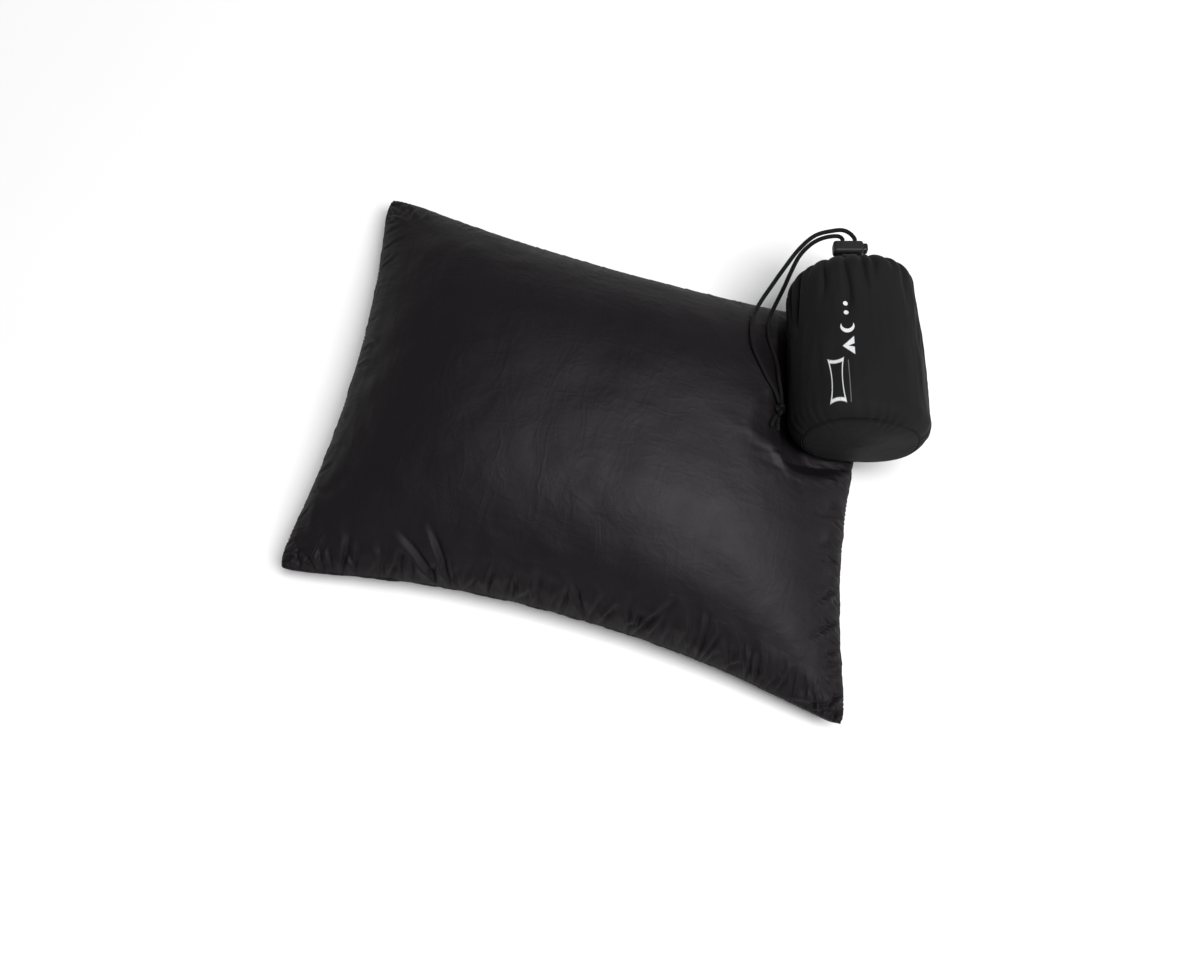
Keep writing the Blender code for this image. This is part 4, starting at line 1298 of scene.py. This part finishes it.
profile = np.concatenate([inner_profile, wall_profile, mouth_profile])

PLEAT_COUNT, PLEAT_SEED = 24, 31
draw = np.random.default_rng(PLEAT_SEED)
PLEATS = []  # (angle round the sack, the height that it reaches down to, depth), shallower on the right
for i in range(PLEAT_COUNT):
    spot, reach = (i + draw.uniform(-0.42, 0.42)) / PLEAT_COUNT, draw.uniform(66, 104)
    depth = draw.uniform(2.4, 4.8) * (1 - 0.35 * math.cos(2 * math.pi * i / PLEAT_COUNT))
    PLEATS.append((2 * math.pi * spot, reach * MM, depth * MM))


SIDE_SEAM = math.pi * 0.97  # the side seam's place round the sack


def turned_from(angle, centre):
    """The signed angle from a centre, between minus and plus half a turn."""
    return (angle - centre + math.pi) % (2 * math.pi) - math.pi


def sack_relief(angle, radius, height):
    """How far pleats, puckers and the side seam move the sack's skin, along its normal."""
    moved = np.zeros(np.broadcast(angle, height).shape)
    gap = np.maximum(radius, 2 * MM) * 2 * math.pi / len(PLEATS)
    for centre, reach, depth in PLEATS:
        drift = 0.07 * np.sin(height / (13 * MM) + centre * 3) * (1 - smoothstep(0.07, 0.118, height))
        beside = turned_from(angle, centre + drift) * np.maximum(radius, 2 * MM)
        wide = np.minimum(2.3 * MM, 0.34 * gap) * (1 + 0.5 * (1 - smoothstep(0.07, 0.11, height)))
        fade = smoothstep(reach - 6 * MM, reach + 22 * MM, height)
        fade = fade * (1 - 0.45 * smoothstep(0.108, 0.121, height))
        valley = np.exp(-np.abs(beside / wide) ** 1.3)
        puff = np.exp(-((beside / (2.1 * wide)) ** 2))
        moved += depth * fade * (0.45 * puff - 1.15 * valley)
    beside = turned_from(angle, SIDE_SEAM) * radius
    on_wall = smoothstep(0.004, 0.014, height)
    moved += 0.55 * MM * np.exp(-((beside / (1.1 * MM)) ** 2)) * on_wall
    moved -= 0.5 * MM * np.exp(-(((np.abs(beside) - 2.4 * MM) / (1.2 * MM)) ** 2)) * on_wall
    return moved


# %% Loft the sack
def loft(name, profile, around, relief, finish):
    """A closed form turned from a profile that starts and ends on the axis, with relief along its normal."""
    angle = np.linspace(0, 2 * math.pi, around, endpoint=False)[None, :]
    radius, height = profile[:, 0][:, None], profile[:, 1][:, None]
    round_points = np.stack([radius * np.cos(angle), radius * np.sin(angle), height + 0 * angle], axis=-1)
    skin = sack_section(round_points)
    ahead = np.roll(skin, -1, axis=1) - np.roll(skin, 1, axis=1)
    up = np.gradient(skin, axis=0)
    normal = np.cross(ahead, up)
    normal /= np.maximum(np.linalg.norm(normal, axis=-1, keepdims=True), 1e-12)
    skin = skin + normal * relief(angle, radius, height, skin)[..., None]
    rows = len(profile)
    ring = skin[1:-1].reshape(-1, 3)
    points = np.concatenate([[skin[0].mean(axis=0)], ring, [skin[-1].mean(axis=0)]])
    number = 1 + np.arange((rows - 2) * around).reshape(rows - 2, around)
    turn = np.roll(number, -1, axis=1)
    quads = np.stack([number[:-1], turn[:-1], turn[1:], number[1:]], axis=-1).reshape(-1, 4).tolist()
    caps = [(0, b, a) for a, b in zip(number[0].tolist(), turn[0].tolist())]
    caps += [(len(points) - 1, a, b) for a, b in zip(number[-1].tolist(), turn[-1].tolist())]
    faces = quads + caps
    mesh = bpy.data.meshes.new(name)
    mesh.from_pydata(from_sack(points).tolist(), [], faces)
    way = np.concatenate([[0], np.cumsum(np.linalg.norm(np.diff(profile, axis=0), axis=1))])
    round_way = np.linspace(0, 2 * math.pi * SHOULDER_RADIUS, around, endpoint=False)
    cloth = np.zeros((len(points), 2))
    cloth[1:-1] = np.stack(np.meshgrid(round_way, way[1:-1]), axis=-1).reshape(-1, 2)
    cloth[-1, 1] = way[-1]
    loops = np.array([v for face in faces for v in face])
    uv = cloth[loops]
    marks = points[loops][:, [0, 2]]
    marks[points[loops][:, 1] > 0, 0] += 1.0
    starts = np.cumsum([0] + [len(face) for face in faces])[:-1]
    sizes = np.array([len(face) for face in faces])
    widest = np.maximum.reduceat(uv[:, 0], starts)
    over = np.repeat(widest, sizes) - uv[:, 0] > math.pi * SHOULDER_RADIUS
    uv[over, 0] += 2 * math.pi * SHOULDER_RADIUS
    mesh.uv_layers.new(name="cloth").data.foreach_set("uv", uv.ravel())
    mesh.uv_layers.new(name="print").data.foreach_set("uv", marks.ravel())
    mesh.shade_smooth()
    mesh.materials.append(finish)
    made = bpy.data.objects.new(name, mesh)
    scene.collection.objects.link(made)
    return made


def puckered(angle):
    """The uneven wave that the base seam draws both its cloths into."""
    return np.sin(angle * 33 + 3.2 * np.sin(angle * 5))


def body_relief(angle, radius, height, skin):
    """Pleats, lumps of what is packed inside, creases down the sides and puckers at the base seam."""
    on_wall = (radius > 20 * MM) | (height > 100 * MM)
    lumpy = 1.25 * lumps(skin, 27 * MM, 11) + 0.5 * lumps(skin * (1, 1, 0.35), 9 * MM, 12)
    pressed = np.where(skin[..., 1] > 0, 0.35, 1.0)
    away_from_neck = 1 - smoothstep(0.100, 0.118, height)
    uneven = np.clip(0.45 + 1.3 * lumps(skin, 19 * MM, 17), 0, 1)
    base_puckers = 0.30 * uneven * puckered(angle) * (1 - smoothstep(0.004, 0.024, height))
    upright = 1 - 3.0 * np.abs(lumps(skin * (1, 1, 0.13), 6.5 * MM, 21))
    side_creases = upright * (0.22 + 0.75 * smoothstep(0.6, 0.95, np.cos(angle)))
    side_creases = side_creases * smoothstep(0.010, 0.035, height) * (1 - smoothstep(0.080, 0.105, height))
    soft = (lumpy + side_creases) * away_from_neck * pressed + base_puckers * pressed
    return (soft * MM + sack_relief(angle, radius, height)) * on_wall


sack_body = loft("sack_body", profile, SACK_COLUMNS, body_relief, sack_nylon)
print("sack body:", len(sack_body.data.polygons), "faces")


# %% [markdown]
# ### Base, base seam and hem
#
# The base is a round panel, bowed out a little by what is packed, and sewn to the wall in a narrow welt.
# The hem is a channel round the neck. The cord inside draws it up, so the channel is ruffled, and it
# has a worked buttonhole in front, under the lock, where both strands come out.

# %% Base panel and welt
low_arc = arc(base_centre, BASE_CORNER, SEAM_ANGLE + 0.004, -math.pi / 2, 8)
base_rim = (low_arc[0][0] * 0.985, low_arc[0][1] + 0.9 * MM)
base_corners = np.concatenate([[(0, -3 * MM)], low_arc[::-1], [base_rim, (0, 0.6 * MM)]])
base_profile = spaced_profile(base_corners, 1.6 * MM)


def base_relief(angle, radius, height, skin):
    """Soft lumps on the base, and the puckers that it shares with the wall."""
    outer = height < 0.0005
    uneven = np.clip(0.45 + 1.3 * lumps(skin, 19 * MM, 17), 0, 1)
    puckers = 0.25 * uneven * puckered(angle) * smoothstep(0.022, 0.037, radius)
    away_from_pole = smoothstep(0.0, 0.004, radius + 0.001)
    return (0.8 * lumps(skin, 22 * MM, 14) + puckers) * MM * outer * away_from_pole


BASE_COLUMNS = 180
sack_base = loft("sack_base_panel", base_profile, BASE_COLUMNS, base_relief, sack_nylon)
welt_out = BASE_CORNER + 0.1 * MM
seam_radius = base_centre[0] + welt_out * math.cos(SEAM_ANGLE)
seam_height = base_centre[1] + welt_out * math.sin(SEAM_ANGLE)
turns = np.linspace(0, 2 * math.pi, BASE_COLUMNS, endpoint=False)
welt_ring = np.stack([
    seam_radius * np.cos(turns), seam_radius * np.sin(turns), 0 * turns + seam_height,
], axis=-1)
welt = cord("sack_base_welt", from_sack(sack_section(welt_ring)), 0.32 * MM, sack_nylon, sides=8, closed=True)
print("base panel:", len(sack_base.data.polygons), "faces")


# %% Ruffled hem
HEM_TUBE = 2.35 * MM


def hem_channel():
    """The ruffled channel round the neck, a closed ring. Its ruffles are the pleats' upper ends."""
    around, section = 260, 26
    angle = np.linspace(0, 2 * math.pi, around, endpoint=False)[:, None]
    turn = np.linspace(0, 2 * math.pi, section, endpoint=False)[None, :]
    ruffle = np.zeros((around, 1))
    for centre, _, depth in PLEATS:
        beside = turned_from(angle, centre) * RING_RADIUS
        ruffle += np.exp(-np.abs(beside / (0.75 * MM)) ** 1.4) * depth / (2.2 * MM)
    ruffle = np.clip(ruffle, 0, 1.2)
    tube = HEM_TUBE * (1 - 0.26 * ruffle + 0 * turn)
    lift = 0.5 * MM * np.sin(angle * 5 + 1.0) + 0.3 * MM * np.sin(angle * 11)
    radius = RING_RADIUS + 0.2 * MM + tube * np.cos(turn)
    height = RING_HEIGHT + lift * 0.5 + tube * 1.05 * np.sin(turn)
    points = np.stack([radius * np.cos(angle), radius * np.sin(angle), height], axis=-1)
    number = np.arange(around * section).reshape(around, section)
    side, over = np.roll(number, -1, axis=0), np.roll(number, -1, axis=1)
    both = np.roll(side, -1, axis=1)
    faces = np.stack([number, side, both, over], axis=-1).reshape(-1, 4)
    mesh = bpy.data.meshes.new("sack_hem_channel")
    mesh.from_pydata(from_sack(points.reshape(-1, 3)).tolist(), [], faces.tolist())
    along = np.repeat(np.arange(around), section)
    cross = np.tile(np.arange(section), around)
    corners = np.stack([[along, cross], [along + 1, cross], [along + 1, cross + 1], [along, cross + 1]])
    uv = corners.transpose(2, 0, 1).reshape(-1, 2) * (1.0 * MM, 0.6 * MM)  # the cloth of one face
    mesh.uv_layers.new(name="cloth").data.foreach_set("uv", uv.ravel())
    mesh.uv_layers.new(name="print").data.foreach_set("uv", (uv + 1.0).ravel())
    mesh.shade_smooth()
    mesh.materials.append(sack_nylon)
    made = bpy.data.objects.new("sack_hem_channel", mesh)
    scene.collection.objects.link(made)
    return made


hem = hem_channel()
hem_turns = np.linspace(0, 2 * math.pi, 120, endpoint=False)
row_radius, row_height = RING_RADIUS + 0.4 * MM + HEM_TUBE * 0.78, RING_HEIGHT - HEM_TUBE * 0.62
hem_row = np.stack([
    row_radius * np.cos(hem_turns), row_radius * np.sin(hem_turns), row_height + 0 * hem_turns,
], axis=-1)
hem_stitches = grown("hem_stitches", from_sack(hem_row), stitch_tree, {
    "Spacing": 2.4 * MM, "Stitch Length": 1.8 * MM, "Thread Radius": 0.16 * MM, "Finish": seam_thread,
}, closed=True)
base_row = welt_ring * (1.012, 1.012, 1.0) + (0, 0, 1.1 * MM)
base_stitches = grown("base_stitches", from_sack(sack_section(base_row)), stitch_tree, {
    "Spacing": 2.8 * MM, "Stitch Length": 2.0 * MM, "Thread Radius": 0.17 * MM, "Finish": seam_thread,
}, closed=True)
print("hem:", len(hem.data.polygons), "faces")


# %% Buttonhole
def buttonhole_points():
    """A long loop of close stitches round both strands, on top of the hem in front."""
    half, wide, high = 5.7 * MM, 1.75 * MM, RING_HEIGHT + HEM_TUBE * 0.98
    points = []
    for turn in np.linspace(0, 2 * math.pi, 60, endpoint=False).tolist():
        x = half * math.copysign(abs(math.cos(turn)) ** 0.6, math.cos(turn))
        y = HOLE_Y + wide * math.copysign(abs(math.sin(turn)) ** 0.8, math.sin(turn))
        points.append((x, y, high - 0.02 * abs(x)))
    return points


buttonhole_path = from_sack(buttonhole_points())
buttonhole = cord("hem_buttonhole", buttonhole_path, 0.5 * MM, seam_thread, sides=8, closed=True)
print("buttonhole:", len(buttonhole.data.polygons), "faces")

# %% [markdown]
# ## The cord lock
#
# The barrel and the plunger have their right shapes in the imported model, so they stay and only get
# their finishes. The spring inside shortens as the plunger is pressed, which a solid can't do, so a
# copy of it stands in, sitting in the barrel.

# %% Finishes for the lock, and its spring
for node, finish in (("lock_barrel", lock_plastic), ("lock_plunger", plunger_plastic)):
    kept = frame["nodes"][node]
    kept.data.materials.clear()
    kept.data.materials.append(finish)

wire = bmesh.new()
wire.from_mesh(frame["nodes"]["lock_spring"].data)
bmesh.ops.remove_doubles(wire, verts=wire.verts, dist=0.002 * MM)
spring_data = bpy.data.meshes.new("lock_spring_coil")
wire.to_mesh(spring_data)
wire.free()
spring_data.shade_smooth()
spring_data.materials.append(spring_steel)
spring = bpy.data.objects.new("lock_spring_coil", spring_data)
scene.collection.objects.link(spring)
spring_axis = sack_frame.to_3x3() @ Vector((1, 0, 0))
spring_foot = min((v.co for v in spring_data.vertices), key=lambda place: place.dot(spring_axis)).copy()
print("spring:", len(spring_data.vertices), "points")

# %% [markdown]
# ## What moves with what
#
# Every piece rides on a body of the imported model and stands for the solids that it replaces.

# %% Ride and replace
PIECES = [  # piece, body, solids it stands for, slot
    (cover, "pillow", ("shell_top_panel", "shell_bottom_panel", "fill_core"), "shell_nylon"),
    (seam_roll, "pillow", ("edge_seam",), "shell_nylon"),
    (edge_stitches, "pillow", (), "seam_thread"),
    (sack_body, "stuff_sack", ("sack_wall", "packed_pillow"), "sack_nylon"),
    (sack_base, "stuff_sack", ("sack_base",), "sack_nylon"),
    (welt, "stuff_sack", (), "sack_nylon"),
    (hem, "stuff_sack", ("sack_hem",), "sack_nylon"),
    (hem_stitches, "stuff_sack", (), "seam_thread"),
    (base_stitches, "stuff_sack", (), "seam_thread"),
    (buttonhole, "stuff_sack", (), "seam_thread"),
    (hem_cord, "stuff_sack", ("drawcord_loop",), "cord_braid"),
    (strands["left"], "stuff_sack", ("drawcord_strand_left",), "cord_braid"),
    (strands["right"], "stuff_sack", ("drawcord_strand_right",), "cord_braid"),
    (knot, "stuff_sack", ("drawcord_knot",), "cord_braid"),
    (cord_tails["left"], "stuff_sack", ("drawcord_tail_left",), "cord_braid"),
    (cord_tails["right"], "stuff_sack", ("drawcord_tail_right",), "cord_braid"),
    (spring, "cord_lock", ("lock_spring",), "spring_steel"),
]
for piece, body, solids, slot in PIECES:
    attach(piece, body)
    if solids:
        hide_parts(*solids)
print(len(PIECES), "pieces placed")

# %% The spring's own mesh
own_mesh(spring)
